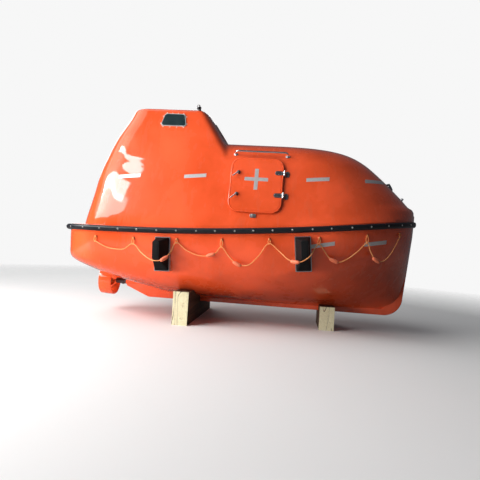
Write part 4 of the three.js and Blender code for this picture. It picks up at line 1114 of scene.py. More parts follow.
HINGE_U = 362
HINGE_N = 42
HINGE_HEIGHTS = {"upper": 175, "lower": -140}
KNUCKLE_RADIUS = 10
KNUCKLE_LENGTH = 38
WEB_SECTION = [(HINGE_U - 3, 6), (HINGE_U + 30, 6), (HINGE_U + 29, 13), (HINGE_U + 14, 40),
               (HINGE_U + 4, 50), (HINGE_U - 7, 47), (HINGE_U - 3, 30)]
NECK_SECTION = [(HINGE_U - 22, 33), (HINGE_U - 2, 33), (HINGE_U + 3, 47), (HINGE_U - 6, 50),
                (HINGE_U - 22, 38)]
LEAF_U = HINGE_U + 38
LEAF_SIZE = (60, 84, 26)
LEAF_TOP = 7
LEAF_PROFILE = [(0, 0.4), (0, 4.8), (0.8, 6.4), (2.4, LEAF_TOP), (8, LEAF_TOP)]
LEAF_BOLTS = [(-17, 28), (17, -28), (17, 28)]
STRAP_U = HINGE_U - 68
STRAP_SIZE = (110, 60, 27)
STRAP_TOP = 38
STRAP_PROFILE = [(0, 32.4), (0, 35.8), (0.8, 37.4), (2.4, STRAP_TOP), (8, STRAP_TOP)]
STRAP_BOLTS = [(-38, -15), (-38, 15), (0, -15), (0, 15), (34, -15), (34, 15)]
HINGE_BOLT_RADIUS = 6.5
PIN_HEAD = [(6, 0), (6, 4), (4.5, 6)]


def drawn_along(section, start, end):
    """A section in u and n, extruded along v."""
    return skin([[(u, v, n) for u, n in section] for v in (start, end)])


def rod(start, end, radius, sides=20, chamfer=1.0):
    """A straight round bar with a small chamfer at each end."""
    start, end = Vector(start), Vector(end)
    way = (end - start).normalized()
    path = [start, start + way * chamfer, end - way * chamfer, end]
    return pipe([tuple(p) for p in path], [radius - chamfer, radius, radius, radius - chamfer], sides)


for place, v in HINGE_HEIGHTS.items():
    leaf = pressed(rectangle(*LEAF_SIZE, LEAF_U, v), LEAF_PROFILE)
    web = drawn_along(WEB_SECTION, v - KNUCKLE_LENGTH, v - 1)
    both_sides(f"hinge_leaf_{place}", [leaf, web], dark_steel, "stainless_steel", at=door_frame,
               bevel=0.0008, replaces=f"door_hinge_{place}")
    strap = pressed(rectangle(*STRAP_SIZE, STRAP_U, v), STRAP_PROFILE)
    neck = drawn_along(NECK_SECTION, v + 1, v + 30)
    both_sides(f"hinge_strap_{place}", [strap, neck], dark_steel, "stainless_steel", bodies=DOORS,
               at=door_frame, bevel=0.0008, replaces=f"door_strap_{place}")
    low_knuckle = rod((HINGE_U, v - KNUCKLE_LENGTH, HINGE_N), (HINGE_U, v - 1, HINGE_N), KNUCKLE_RADIUS)
    low_bolts = [screw(LEAF_U + a, v + b, LEAF_TOP, HINGE_BOLT_RADIUS) for a, b in LEAF_BOLTS]
    both_sides(f"hinge_knuckle_{place}", [low_knuckle, *low_bolts], stainless, "stainless_steel",
               at=door_frame)
    high_knuckle = rod((HINGE_U, v + 1, HINGE_N), (HINGE_U, v + KNUCKLE_LENGTH, HINGE_N), KNUCKLE_RADIUS)
    pin_top = Matrix.Translation((HINGE_U, v + KNUCKLE_LENGTH, HINGE_N))
    pin_head = moved(turned(PIN_HEAD, sides=16), pin_top @ Matrix.Rotation(-math.pi / 2, 4, "X"))
    high_bolts = [screw(STRAP_U + a, v + b, STRAP_TOP, HINGE_BOLT_RADIUS) for a, b in STRAP_BOLTS]
    both_sides(f"strap_knuckle_{place}", [high_knuckle, pin_head, *high_bolts], stainless,
               "stainless_steel", bodies=DOORS, at=door_frame)

HANDLE_U = -245
HANDLE_HEIGHTS = {"upper": 165, "lower": -145}
LEVER_TURN = math.radians(-135)
LEVER_LENGTH = 105
LEVER_FOOT_N = 56
LEVER_RISE = 18
LEVER_RADII = [4, 8, 10.5, 11.5, 11, 10.4, 9.8, 9.2, 8.8, 8.6, 8.8, 9.2, 8.2, 4.5]
BOSS_PROFILE = [(25, 32.4), (25, 35.5), (23.5, 37), (20, 37.5), (19, 40), (18.5, 56), (17, 62), (13, 65.4),
                (6, 66)]
for place, v in HANDLE_HEIGHTS.items():
    both_sides(f"handle_boss_{place}", turned(BOSS_PROFILE, HANDLE_U, v, 28), dark_steel, "black_plastic",
               bodies=DOORS, at=door_frame, crease=40, replaces=f"door_handle_{place}")
    lever_path = []
    for share in np.linspace(-0.16, 1, len(LEVER_RADII)):
        reach = LEVER_LENGTH * share
        lever_path.append((HANDLE_U + reach * math.cos(LEVER_TURN), v + reach * math.sin(LEVER_TURN),
                           LEVER_FOOT_N + LEVER_RISE * max(share, 0) ** 0.7))
    both_sides(f"handle_lever_{place}", pipe(lever_path, LEVER_RADII, 16), stainless, "stainless_steel",
               bodies=DOORS, at=door_frame, crease=60)

STOP_PLACE = (-10, -428)
STOP_PLATE_SIZE = (80, 50, 14)
STOP_PLATE_PROFILE = [(0, 0.4), (0, 8), (1, 9.6), (3, 10), (9, 10)]
STOP_KNOB_PROFILE = [(16, 9), (16, 12), (11, 15), (10, 28), (15, 31), (16, 34), (15.5, 38), (12, 40)]
stop_plate = pressed(rectangle(*STOP_PLATE_SIZE, *STOP_PLACE), STOP_PLATE_PROFILE)
stop_knob = turned(STOP_KNOB_PROFILE, *STOP_PLACE)
stop_screws = [screw(STOP_PLACE[0] + off, STOP_PLACE[1], 10, 5) for off in (-28, 28)]
both_sides("door_stop_plate", [stop_plate, *stop_screws], galvanised, "galvanised_steel", at=door_frame,
           bevel=0.0006, replaces="door_stop")
both_sides("door_stop_knob", stop_knob, bolt_steel, "stainless_steel", at=door_frame)

# Handrail. A polished stainless tube over each door, bent down into two short feet that stand on small
# flanges on the shoulder of the roof.
RAIL_RADIUS = 12.5
RAIL_ENDS = (-93, 610)
RAIL_FOOT = (-720, 2338)
RAIL_TOP = (-812, 2386)
aft_x, fore_x = RAIL_ENDS
rail_corners = [(aft_x, *RAIL_FOOT), (aft_x, *RAIL_TOP), (fore_x, *RAIL_TOP), (fore_x, *RAIL_FOOT)]
rail_path = np.array(cornered(rail_corners, 44, 10, closed=False)) * MM
LEG_STEPS = 400
FLANGE_PROFILE = [(29, -3), (29, 3), (27.5, 4.5), (15, 5), (13.5, 9)]
FLANGE_SPAN = 30
outer_canopy_half = canopy_half()
leg_y, leg_z = (np.linspace(foot, top, LEG_STEPS) for foot, top in zip(RAIL_FOOT, RAIL_TOP))
flange = [turned(FLANGE_PROFILE), screw(-21, 0, 4.6, 4), screw(21, 0, 4.6, 4)]
flanges = []
for x in RAIL_ENDS:
    out_at = int(np.argmax(outer_canopy_half(np.full(LEG_STEPS, float(x)), leg_z) < -leg_y))
    y, z = leg_y[out_at], leg_z[out_at]
    below, above = (float(outer_canopy_half(np.array(x), np.array(z + rise)))
                    for rise in (-FLANGE_SPAN / 2, FLANGE_SPAN / 2))
    flange_frame = frame_at(FORWARD, (0, (below - above) / FLANGE_SPAN, 1), (x, y, z))
    flanges.append(placed(flange, flange_frame))
both_sides("handrail_tube", [pipe(rail_path, RAIL_RADIUS * MM, 20), *flanges], stainless, "stainless_steel",
           crease=45, replaces="handrail")

# Tower windows. Each is a smoke-tinted acrylic pane over its opening, bedded on a pale gasket. The frame
# inside is held by small screws, whose pale caps show on the shell all round it.
tinted = Paint("tinted acrylic", (0.020, 0.050, 0.055), 0.10,
               **{"Coat Weight": 0.6, "Coat Roughness": 0.03})
film = tinted.noise(8, 4, 0.6).between(0.4, 0.8)
tinted.feed(**{
    "Base Color": tinted.mix(film * 0.5, (0.010, 0.024, 0.027), (0.035, 0.055, 0.058)),
    "Roughness": 0.07 + film * 0.2,
    "Alpha": 0.92 + film * 0.06,
})
screw_caps = clouded("pale screw caps", (0.80, 0.79, 0.75), [(0.70, 0.68, 0.64), (0.86, 0.85, 0.82)],
                     scale=300, detail=3, roughness=0.35)
gasket = clouded("pale gasket", (0.38, 0.39, 0.38), [(0.30, 0.31, 0.30), (0.46, 0.46, 0.44)],
                 scale=50, detail=3, roughness=0.6)
CORNER_STEPS = 8
PANE_LAP = 14
SCREW_MARGIN = 36
CAP_FOOT = 0.4
CAP_RADIUS = 6.5
PANE_PROFILE = [(-PANE_LAP + 5, 0.5), (-PANE_LAP + 5, 6), (-PANE_LAP + 6.5, 9), (-PANE_LAP + 10, 11),
                (0, 11.4)]
RIM_SECTION = [(-PANE_LAP, 0.4), (-PANE_LAP, 9), (-PANE_LAP + 1.5, 11.2), (-PANE_LAP + 4, 12),
               (-PANE_LAP + 7, 11.6), (-PANE_LAP + 8, 10.5), (-PANE_LAP + 8, 0.4)]


def window(name, outline, place, screws_across, screws_up, sides=False):
    """A pane, its gasket and the screws along its edge. sides gives it to both sides of the tower."""
    edge = outline(-SCREW_MARGIN)
    corners = edge[CORNER_STEPS // 2::CORNER_STEPS + 1]
    heads = []
    for start, end, count in zip(corners, corners[1:] + corners[:1], [screws_across, screws_up] * 2):
        heads += [screw(*(start + (end - start) * (i + 0.5) / count), CAP_FOOT, CAP_RADIUS)
                  for i in range(count)]
    parts = [
        # part, shape, paint, slot, crease, node
        ("pane", pressed(outline, PANE_PROFILE), tinted, "tinted_glass", 60, name),
        ("gasket", pressed(outline, RIM_SECTION, loop=True), gasket, "tinted_glass", 50, ""),
        ("screws", heads, screw_caps, "stainless_steel", 30, ""),
    ]
    for part, shape, paint, slot, crease, node in parts:
        if sides:
            both_sides(f"{name}_{part}", shape, paint, slot, at=place, replaces=node, crease=crease)
        else:
            piece(f"{name}_{part}", shape, paint, slot, at=place, crease=crease, replaces=node.split())


window("tower_window_side", SIDE_WINDOW, side_window_frame, 4, 2, sides=True)
window("tower_window_front", FRONT_WINDOW, front_window_frame, 7, 2)
window("tower_window_aft", AFT_WINDOW, aft_window_frame, 6, 2)

# End hatches. Each is a piece of the canopy's own form that lifts on two grey steel arms at its upper edge.
# The arms turn on pins between lugs on the canopy, and two small lever handles close the lower edge.
PIN_N = 34
PIN_RADIUS = 5.5
ARM_WIDTH = 36
LUG_GAP = 5
LUG_THICK = 6
ARM_SHARE = 0.3
HATCH_BOSS = [(22, -18), (22, 12), (18, 14), (17, 34), (12, 38)]
HATCH_LEVER_RADII = [9, 8, 7.5, 4]
HATCH_LEVER_SHARE = 0.28
HATCH_LEVER_RISE = 62


def drawn_across(section, start, end):
    """A section in v and n, extruded along u."""
    return skin([[(u, v, n) for v, n in section] for u in (start, end)])


for end, (hatch_frame, width, height) in HATCHES.items():
    margin_outline = rectangle(width - 2 * HATCH_MARGIN, height - 2 * HATCH_MARGIN,
                               HATCH_CORNER - HATCH_MARGIN, steps=12)
    block = mesh_of(prism(margin_outline, HATCH_DEPTH, HATCH_DEPTH, hatch_frame), 0, shell_paints)
    body = f"{end}_hatch"
    piece(f"hatch_shell_{end}", carved(shell, ("INTERSECT", block)), None, "orange_grp", body=body,
          crease=40, replaces=[f"hatch_{end}"], even=False)
    edge = height / 2 - HATCH_MARGIN
    pin = height / 2 + 6
    arm_section = [(edge - 82, -12), (edge - 82, 12), (edge - 66, 22), (edge - 20, 38), (pin, 44),
                   (pin + 9, 40), (pin + 11, 30), (pin + 4, 22), (edge - 4, 16), (edge - 12, -12)]
    lug_section = [(pin - 4, -40), (pin + 38, -40), (pin + 30, 6), (pin + 9, 38), (pin + 4, 43),
                   (pin - 4, 43), (pin - 9, 38), (pin - 9, 27), (pin - 4, 10)]
    lug_near = ARM_WIDTH / 2 + LUG_GAP
    lug_far = lug_near + LUG_THICK
    arms, lugs, pins = [], [], []
    for u in (-width * ARM_SHARE, width * ARM_SHARE):
        arms.append(drawn_across(arm_section, u - ARM_WIDTH / 2, u + ARM_WIDTH / 2))
        arms += [screw(u, edge - 60, 25, 6), screw(u, edge - 40, 32, 6)]
        lugs.append(drawn_across(lug_section, u - lug_far, u - lug_near))
        lugs.append(drawn_across(lug_section, u + lug_near, u + lug_far))
        pins.append(rod((u - lug_far - 4, pin, PIN_N), (u + lug_far + 4, pin, PIN_N), PIN_RADIUS, 16))
    piece(f"hatch_arms_{end}", arms, dark_steel, "stainless_steel", body=body, at=hatch_frame, bevel=0.002)
    piece(f"hatch_lugs_{end}", lugs, dark_steel, "stainless_steel", at=hatch_frame, bevel=0.001)
    piece(f"hatch_pins_{end}", pins, stainless, "stainless_steel", at=hatch_frame)
    levers = []
    v = -height / 2 + HATCH_LEVER_RISE
    for u in (-width * HATCH_LEVER_SHARE, width * HATCH_LEVER_SHARE):
        lever_path = [(u, v, 30), (u * 0.72, v + 6, 36), (u * 0.3, v + 10, 38), (u * 0.24, v + 10, 38)]
        levers += [turned(HATCH_BOSS, u, v), pipe(lever_path, HATCH_LEVER_RADII, 14)]
    piece(f"hatch_handles_{end}", levers, stainless, "stainless_steel", body=body, at=hatch_frame,
          crease=45)

# Canopy lamp. A short black post leans aft on the tower's top and carries the position light in a clear
# dome.
LAMP_FOOT = (-735, 0, 2984)
lamp_frame = frame_at(TO_STARBOARD, (0.94, 0, 0.34), LAMP_FOOT)
black_plastic = Paint("black plastic", (0.012, 0.012, 0.013), 0.4)
black_plastic.feed(Roughness=0.3 + black_plastic.noise(70, 3) * 0.25)
lamp_clear = Paint("clear dome", (0.86, 0.90, 0.92), 0.06, **{"IOR": 1.45, "Transmission Weight": 0.75})
lamp_clear.feed(Roughness=0.04 + lamp_clear.noise(40) * 0.1)
LAMP_BASE = [(40, -16), (40, 4), (36, 9), (24, 12), (22, 20), (22, 184), (26, 187), (34, 188), (35, 192),
             (35, 203), (32, 207)]
DOME_PROFILE = [(29, 206), (30, 208), (29.5, 222), (27, 234), (22, 243), (14, 248.5), (5, 250)]
LENS_PROFILE = [(12, 207), (12, 228), (9, 234), (3, 236)]
piece("lamp_base", turned(LAMP_BASE, sides=28), black_plastic, "black_plastic", at=lamp_frame, crease=40,
      replaces=["canopy_lamp"])
piece("lamp_dome", turned(DOME_PROFILE, sides=28), lamp_clear, "tinted_glass", at=lamp_frame, crease=60)
piece("lamp_lens", turned(LENS_PROFILE, sides=16), bolt_steel, "stainless_steel", at=lamp_frame)

# Side fender blocks. Two moulded rubber blocks a side keep the boat off the ship's side when it is lowered.
# Each is a frustum on a galvanised steel frame, which is bolted to the hull square to the sheer. Their
# outer faces lie a little nearer to the boat's ends than their feet do.
BLOCKS = {
    # forward position, how far the outer face stands forward of the frame's middle
    "aft": (-953, -34),
    "forward": (867, 20),
}
BLOCK_TOP_DROP = 92
BLOCK_OUT = 1245
FRAME_OUT = 1052
FRAME_SIZE = (208, 452, 10)
FRAME_MIDDLE = -218
FRAME_PROFILE = [(0, 850), (0, FRAME_OUT - 3), (1, FRAME_OUT - 0.8), (3, FRAME_OUT), (12, FRAME_OUT)]
LEAN_FROM = FRAME_OUT + 24
PANEL_SIZE = (46, 176, 8)
PANEL_MIDDLE = -164
PANEL_PROFILE = [(0, BLOCK_OUT - 1), (0, BLOCK_OUT + 3), (1, BLOCK_OUT + 4.2), (4, BLOCK_OUT + 4.6),
                 (12, BLOCK_OUT + 4.6)]
block_rubber = rubber("block rubber", (0.009, 0.0095, 0.010), 0.62, 0.25, 0.1)
BLOCK_RINGS = [
    # distance out from the centreline, middle below the block's top, width, height, corner
    (FRAME_OUT + 0.4, 218, 184, 430, 14),
    (FRAME_OUT + 14, 218, 184, 430, 14),
    (FRAME_OUT + 24, 216, 177, 420, 18),
    (FRAME_OUT + 100, 192, 136, 334, 22),
    (BLOCK_OUT - 22, 168, 102, 248, 22),
    (BLOCK_OUT - 5, 164.5, 94, 235, 20),
    (BLOCK_OUT - 1, 164, 88, 228, 17),
    (BLOCK_OUT, 164, 82, 222, 14),
    (BLOCK_OUT, 164, 66, 206, 10),
]
for place, (x, lean) in BLOCKS.items():
    top = sheer(x) - BLOCK_TOP_DROP
    slope = SHEER_SLOPE + 2 * SHEER_CURVE * x
    block_frame = frame_at((1, 0, slope), (-slope, 0, 1), (x, 0, top))
    rubber_rings = []
    for out, middle, width, height, corner in BLOCK_RINGS:
        u_middle = lean * max(out - LEAN_FROM, 0) / (BLOCK_OUT - LEAN_FROM)
        ring_outline = rectangle(width, height, corner, u_middle, -middle)
        rubber_rings.append([(u, v, out) for u, v in ring_outline()])
    panel = pressed(rectangle(*PANEL_SIZE, lean, PANEL_MIDDLE), PANEL_PROFILE)
    both_sides(f"block_rubber_{place}", [skin(rubber_rings), panel], block_rubber, "fender_rubber",
               at=block_frame, crease=35, replaces=f"side_fender_{place}")
    plate = mesh_of(moved(pressed(rectangle(*FRAME_SIZE, 0, FRAME_MIDDLE), FRAME_PROFILE), block_frame))
    steel_frame = carved(plate, ("DIFFERENCE", hull_outside))
    for side in ("starboard", "port"):
        shown = steel_frame.copy()
        if side == "port":
            shown.transform(MIRROR)
            shown.flip_normals()
        piece(f"block_frame_{place}_{side}", shown, galvanised, "galvanised_steel", bevel=0.0015,
              replaces=[f"side_fender_frame_{place}_{side}"])
    nuts = [screw(u, FRAME_MIDDLE + v, FRAME_OUT, 5, 6) for u in (-98, 98) for v in (-190, -64, 64, 190)]
    both_sides(f"block_nuts_{place}", nuts, bolt_steel, "galvanised_steel", at=block_frame)

# Stern gear. A steel tube carries the shaft out of a fairing on the skeg to a three-bladed bronze
# propeller, which turns in a round glass-fibre nozzle. The nozzle is the rudder: it turns on a stock under
# the hull.
SHAFT_Z = 450
PROP_X = -2038
bronze = metal("cast bronze", (0.62, 0.40, 0.17), 0.32, 0.5, 15)
tube_steel = metal("grey painted tube", (0.17, 0.18, 0.19), 0.45, 0.5)
shaft_frame = frame_at(TO_PORT, UPWARD, (PROP_X, 0, SHAFT_Z))
TUBE_PROFILE = [(42, 505), (42, 236), (50, 232), (50, 206), (47, 202), (42, 200), (42, 118), (38, 113),
                (24, 113)]
SKEG_BOSS = [(30, 270), (46, 272), (51, 278), (52, 340), (48, 450), (40, 600), (20, 720)]
piece("stern_boss", turned(SKEG_BOSS, sides=36), orange, "orange_grp", at=shaft_frame, crease=50)
piece("stern_tube_shell", turned(TUBE_PROFILE, sides=36), tube_steel, "galvanised_steel", at=shaft_frame,
      crease=40, replaces=["stern_tube"])

HUB_PROFILE = [(12, -66), (16, -64), (17, -58), (17, -49), (26, -47), (31, -38), (34, 30), (30, 36),
               (17, 38), (17, 186)]
BLADES = 3
BLADE_ROOT = 24
BLADE_TIP = 180
BLADE_CHORD = 118
BLADE_SIDES = 22


def blade(turn):
    """One blade: thin rounded sections whose pitch falls from root to tip."""
    rings = []
    for share in np.concatenate([np.linspace(0, 0.9, 14), np.linspace(0.93, 1, 8)]):
        radius = BLADE_ROOT + (BLADE_TIP - BLADE_ROOT) * share
        swell = max(1 - ((share - 0.52) / 0.60) ** 2, 0) ** 0.5
        chord = BLADE_CHORD * swell * (1 - 0.75 * max(share - 0.9, 0) / 0.1) + 6
        thick = 10 * (1 - share) + 2.2
        pitch = math.radians(66 - 22 * share)
        rake = -10 * share
        section = []
        for a in np.arange(BLADE_SIDES) * 2 * math.pi / BLADE_SIDES:
            along_chord = chord / 2 * math.cos(a)
            across_chord = thick / 2 * math.sin(a) * (1 + 0.35 * math.cos(a))
            swing = (along_chord * math.sin(pitch) - across_chord * math.cos(pitch)) / radius
            swing = max(-0.85, min(0.85, swing))
            n = along_chord * math.cos(pitch) + across_chord * math.sin(pitch) + rake
            section.append((radius * math.cos(turn + swing), radius * math.sin(turn + swing), n))
        rings.append(section)
    return skin(rings)


blades = [blade(2 * math.pi * k / BLADES + math.pi / 2) for k in range(BLADES)]
piece("propeller_wheel", [turned(HUB_PROFILE, sides=32), *blades], bronze, "bronze", body="screw",
      at=shaft_frame, crease=40, replaces=["propeller"])

NOZZLE_PROFILE = [(189, 30), (192, 60), (198, 84), (204, 94), (209, 98), (213.5, 94), (216, 80), (217, 55),
                  (216, 20), (213, -40), (207, -100), (203, -104), (199, -102), (196, -92), (191, -60),
                  (189, -10)]
NOZZLE_SIDES = 72
NOZZLE_FIN = [(-4, -100), (-5.5, -96), (-5.5, -72), (0, -66), (5.5, -72), (5.5, -96), (4, -100)]
nozzle = turned(NOZZLE_PROFILE, sides=NOZZLE_SIDES, loop=True)
fin = drawn_along(NOZZLE_FIN, -196, 196)
SADDLE_SIZE = (48, 116, 20)
SADDLE_PROFILE = [(0, 196), (0, 218), (1.5, 221), (5, 222)]
COLLAR_PROFILE = [(27, 221), (27, 236), (25, 239), (20, 240)]
STOCK_RADIUS = 20
UPSIDE_DOWN = Matrix.Diagonal((1, 1, -1, 1))
stock_frame = frame_at(TO_PORT, FORWARD, (PROP_X, 0, SHAFT_Z)) @ UPSIDE_DOWN
saddle = pressed(rectangle(*SADDLE_SIZE), SADDLE_PROFILE)
collar = turned(COLLAR_PROFILE, sides=28)
stock = rod((0, 0, 215), (0, 0, 325), STOCK_RADIUS)
piece("nozzle_ring", [nozzle, fin], orange, "orange_grp", body="nozzle", at=shaft_frame, crease=40,
      replaces=["steering_nozzle"])
piece("nozzle_stock", [saddle, stock, collar], stainless, "stainless_steel", body="nozzle", at=stock_frame,
      crease=40)

# Chocks. The boat stands on two built-up timber blocks of sawn softwood, pale and weathered at the ends,
# where they have split, and cut to the form of the hull above. Their sides and tops are dark brown wood,
# painted darker still as shade.
CHOCKS = {
    # forward position, thickness, half-width, height
    "aft": (-693, 210, 900, 450),
    "forward": (1290, 210, 360, 330),
}
CHOCK_PLAY = 2
timber = Paint("sawn timber", (0.62, 0.48, 0.30), 0.75)
year_rings = timber.noise(22, 3, 0.5, timber.stretched(1, 0.06, 1), 1.2)
fine_grain = timber.noise(240, 3, 0.6, timber.stretched(1, 0.04, 1))
facing_side = timber.axis(1, timber.node("ShaderNodeNewGeometry", output=1))
sawn_end = facing_side.maths("ABSOLUTE", facing_side).between(0.6, 0.8)
split = timber.noise(3.4, 2, 0.4, timber.stretched(2.6, 0.55, 0.35), 0.5) - 0.5
crack = 1 - split.maths("ABSOLUTE", split).between(0.002, 0.008)
knocks = timber.noise(14, 4, 0.65).between(0.60, 0.72)
# Painted shade: faces that are not sawn ends get a very dark brown, partly the wood's own colour and partly
# shade painted in.
brown_sides_and_shade = timber.mix(year_rings.between(0.35, 0.62), (0.10, 0.055, 0.028), (0.045, 0.026, 0.015))
pale = timber.mix(year_rings.between(0.4, 0.6) * 0.4, (0.80, 0.74, 0.50), (0.62, 0.54, 0.32))
pale = timber.mix(knocks * 0.6, pale, (0.32, 0.23, 0.12))
wood = timber.mix(fine_grain.between(0.3, 0.8) * 0.25, timber.mix(sawn_end, brown_sides_and_shade, pale),
                  (0.09, 0.06, 0.035))
timber.feed(**{
    "Base Color": timber.mix(crack, wood, (0.05, 0.035, 0.02)),
    "Roughness": 0.65 + fine_grain * 0.3,
    "Normal": timber.bump(1 - crack, 0.004, 0.8, timber.bump(fine_grain, 0.0012, 0.5)),
})
keel_block = mesh_of(slab(keel_outline, KEEL_THICK + 2 * CHOCK_PLAY))
for end, (x, thickness, half_width, height) in CHOCKS.items():
    across = [(-half_width, 0), (half_width, 0), (half_width, height), (-half_width, height)]
    ends = [[(end_x * MM, y * MM, z * MM) for y, z in across]
            for end_x in (x - thickness / 2, x + thickness / 2)]
    block = carved(mesh_of(skin(ends)), ("DIFFERENCE", hull_outside), ("DIFFERENCE", keel_block))
    piece(f"chock_timber_{end}", block, timber, "timber", bevel=0.004, segments=3,
          replaces=[f"chock_{end}"])

# Reflective tapes. Silver retro-reflective strips with a honeycomb lie on the shell: three on each side of
# the canopy, one on each bow, two on each side of the hull and a cross on each door.
TAPE = (300, 50)
TAPE_PROUD = 0.9
CANOPY_TAPES = [
    # middle, height of the middle, rise from end to end
    (-1516, 1967, 34),
    (-613, 2016, 32),
    (1022, 2049, 30),
    (1800, 2092, 30),
]
HULL_TAPES = [
    (1125, 1193, 60),
    (1806, 1258, 52),
]
silver = Paint("reflective tape", (0.62, 0.62, 0.60), 0.3, Metallic=0.35)
cells = silver.node("ShaderNodeTexVoronoi", {"feature": "DISTANCE_TO_EDGE"},
                    {"Vector": silver.stretched(1, 0.55, 1), "Scale": 330, "Randomness": 0.12})
net = cells.between(0.02, 0.07)
aged = silver.noise(30, 4, 0.6)
silver.feed(**{
    "Base Color": silver.mix(aged.between(0.45, 0.75) * 0.5,
                             silver.mix(net, (0.46, 0.46, 0.46), (0.60, 0.59, 0.60)),
                             (0.46, 0.44, 0.42)),
    "Roughness": 0.22 + aged * 0.2,
    "Metallic": 0.25 + net * 0.2,
})


def tape_sheet(middle, height, rise, half):
    """A thin strip laid on a surface that is given as its half-breadth at a position and height."""
    length, width = TAPE
    edge = width / 2
    below = [(t, -2.0) for t in np.linspace(-edge, edge, 9)]
    above = [(t, TAPE_PROUD + 0.3) for t in np.linspace(edge - 1.2, 1.2 - edge, 9)]
    across, proud = np.array([*below, (edge, TAPE_PROUD), *above, (-edge, TAPE_PROUD)]).T
    rings = []
    for s in np.linspace(-length / 2, length / 2, 31):
        x = np.full(len(across), middle + s)
        z = height + rise * s / length + across
        rings.append(np.stack([x, -half(x, z) - proud, z], axis=1) * MM)
    return skin(rings)


tapes = [tape_sheet(*tape, outer_canopy_half) for tape in CANOPY_TAPES]
tapes += [tape_sheet(*tape, hull_breadth) for tape in HULL_TAPES]
both_sides("reflective_tapes", tapes, silver, "reflective_tape", crease=60)
CROSS_AT = (-4, 76)
CROSS_ARMS = [
    # width, height, how far it stands off the door's face
    (312, 50, 1.1),
    (50, 300, 1.6),
]
cross = [pressed(rectangle(width, height, 3, *CROSS_AT),
                 [(0, DOOR_FACE - 1), (0, DOOR_FACE + 0.8), (1, DOOR_FACE + proud)])
         for width, height, proud in CROSS_ARMS]
both_sides("door_cross", cross, silver, "reflective_tape", bodies=DOORS, at=door_frame, crease=60)

# Inside. Moulded side benches with dark cushions and belts run along both sides, and the engine stands
# amidships under its casing, with the helmsman's seat on top of it and the console and wheel ahead.
liner_gloss = clouded("moulded liner", (0.74, 0.72, 0.65), [(0.70, 0.68, 0.60), (0.78, 0.76, 0.70)],
                      scale=4, detail=4, roughness=0.32)
liner_gloss.feed(Roughness=0.26 + liner_gloss.noise(30) * 0.18)
iron = Paint("engine enamel", (0.06, 0.16, 0.12), 0.45)
iron.feed(**{
    "Base Color": iron.mix(iron.noise(12, 4).between(0.45, 0.7), (0.05, 0.15, 0.11), (0.10, 0.10, 0.09)),
    "Roughness": 0.35 + iron.noise(50) * 0.25,
})
vinyl = Paint("dark vinyl", (0.05, 0.055, 0.06), 0.55)
hide = vinyl.noise(160, 4, 0.6)
vinyl.feed(**{"Roughness": 0.45 + hide * 0.2, "Normal": vinyl.bump(hide, 0.0006, 0.5)})
webbing = Paint("belt webbing", (0.55, 0.20, 0.03), 0.8)
woven = webbing.node("ShaderNodeTexWave", None, {"Vector": webbing.place(), "Scale": 180})
webbing.feed(**{"Base Color": webbing.mix(woven, (0.50, 0.17, 0.03), (0.62, 0.27, 0.06))})
for name, paint in (("bench_starboard", liner_gloss), ("bench_port", liner_gloss), ("engine", iron)):
    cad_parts[name].data.materials.clear()
    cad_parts[name].data.materials.append(paint.material)

BENCH_TOP = 985
BENCH_ENDS = (-1620, 1720)
BENCH_EDGE = 478
SEATS = 7
CUSHION_DEPTH = 350
CUSHION_THICK = 40
PAD_PROFILE = [
    # share of the outline, share of the thickness: round edges, then a crown
    (0.90, 0.0), (0.965, 0.10), (0.99, 0.26), (0.996, 0.5), (0.99, 0.74), (0.965, 0.90), (0.90, 0.99),
    (0.75, 1.07), (0.5, 1.14), (0.25, 1.17), (0.06, 1.18),
]
PAD_POINTS = 96
PULL_IN = 0.035
PIPING_RADIUS = 3.2
BELT_RUN = [
    # share of the cushion's depth from its outer edge, further in by, height over the bench
    (0, 4, 38), (0.25, 0, 49), (0.5, 0, 51), (0.75, 0, 49), (1, -12, 38),
]
BELT_SECTION = [(-0.022, -0.0012), (0.022, -0.0012), (0.022, 0.0012), (-0.022, 0.0012)]
pitch_of_seats = (BENCH_ENDS[1] - BENCH_ENDS[0]) / SEATS


def stuffed(width, depth, corner, thick, foot=0.5):
    """A crowned pad whose sides pull in between its corners, with a piped seam round its middle."""
    outline = np.array(rectangle(width, depth, corner)())
    closed = np.vstack([outline, outline[:1]])
    run = distance_along(closed)
    even = np.linspace(0, run[-1], PAD_POINTS, endpoint=False)
    u, v = (np.interp(even, run, closed[:, i]) for i in (0, 1))
    u, v = u * (1 - PULL_IN * (1 - (2 * v / depth) ** 2)), v * (1 - PULL_IN * (1 - (2 * u / width) ** 2))
    rings = [[(a * share, b * share, foot + thick * rise) for a, b in zip(u, v)]
             for share, rise in PAD_PROFILE]
    seam = np.stack([u, v, np.full(PAD_POINTS, foot + thick / 2)], axis=1)
    return joined([skin(rings), pipe(seam, PIPING_RADIUS, 8, loop=True)])


cushions, belts = [], []
for seat in range(SEATS):
    middle = BENCH_ENDS[0] + pitch_of_seats * (seat + 0.5)
    narrow_end = np.array(middle + math.copysign(pitch_of_seats / 2, middle))
    reach = float(hull_breadth(narrow_end, np.array(BENCH_TOP + 20.0))) - 110
    depth = min(CUSHION_DEPTH, reach - BENCH_EDGE)
    cushion_frame = frame_at(FORWARD, TO_PORT, (middle, -BENCH_EDGE - depth / 2 - 8, BENCH_TOP))
    cushions.append(moved(stuffed(pitch_of_seats - 26, depth - 12, 34, CUSHION_THICK), cushion_frame))
    for side in (-70, 70):
        belt_points = [(middle + side, -BENCH_EDGE - depth + depth * share + further, BENCH_TOP + height)
                       for share, further, height in BELT_RUN]
        belt, _ = curve_through(np.array(belt_points) * MM, 0.02)
        belts.append(sweep(belt, lambda i: BELT_SECTION))
for cushion_row in both_sides("bench_cushions", cushions, vinyl, "black_plastic", crease=60):
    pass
both_sides("bench_belts", belts, webbing, "rope")

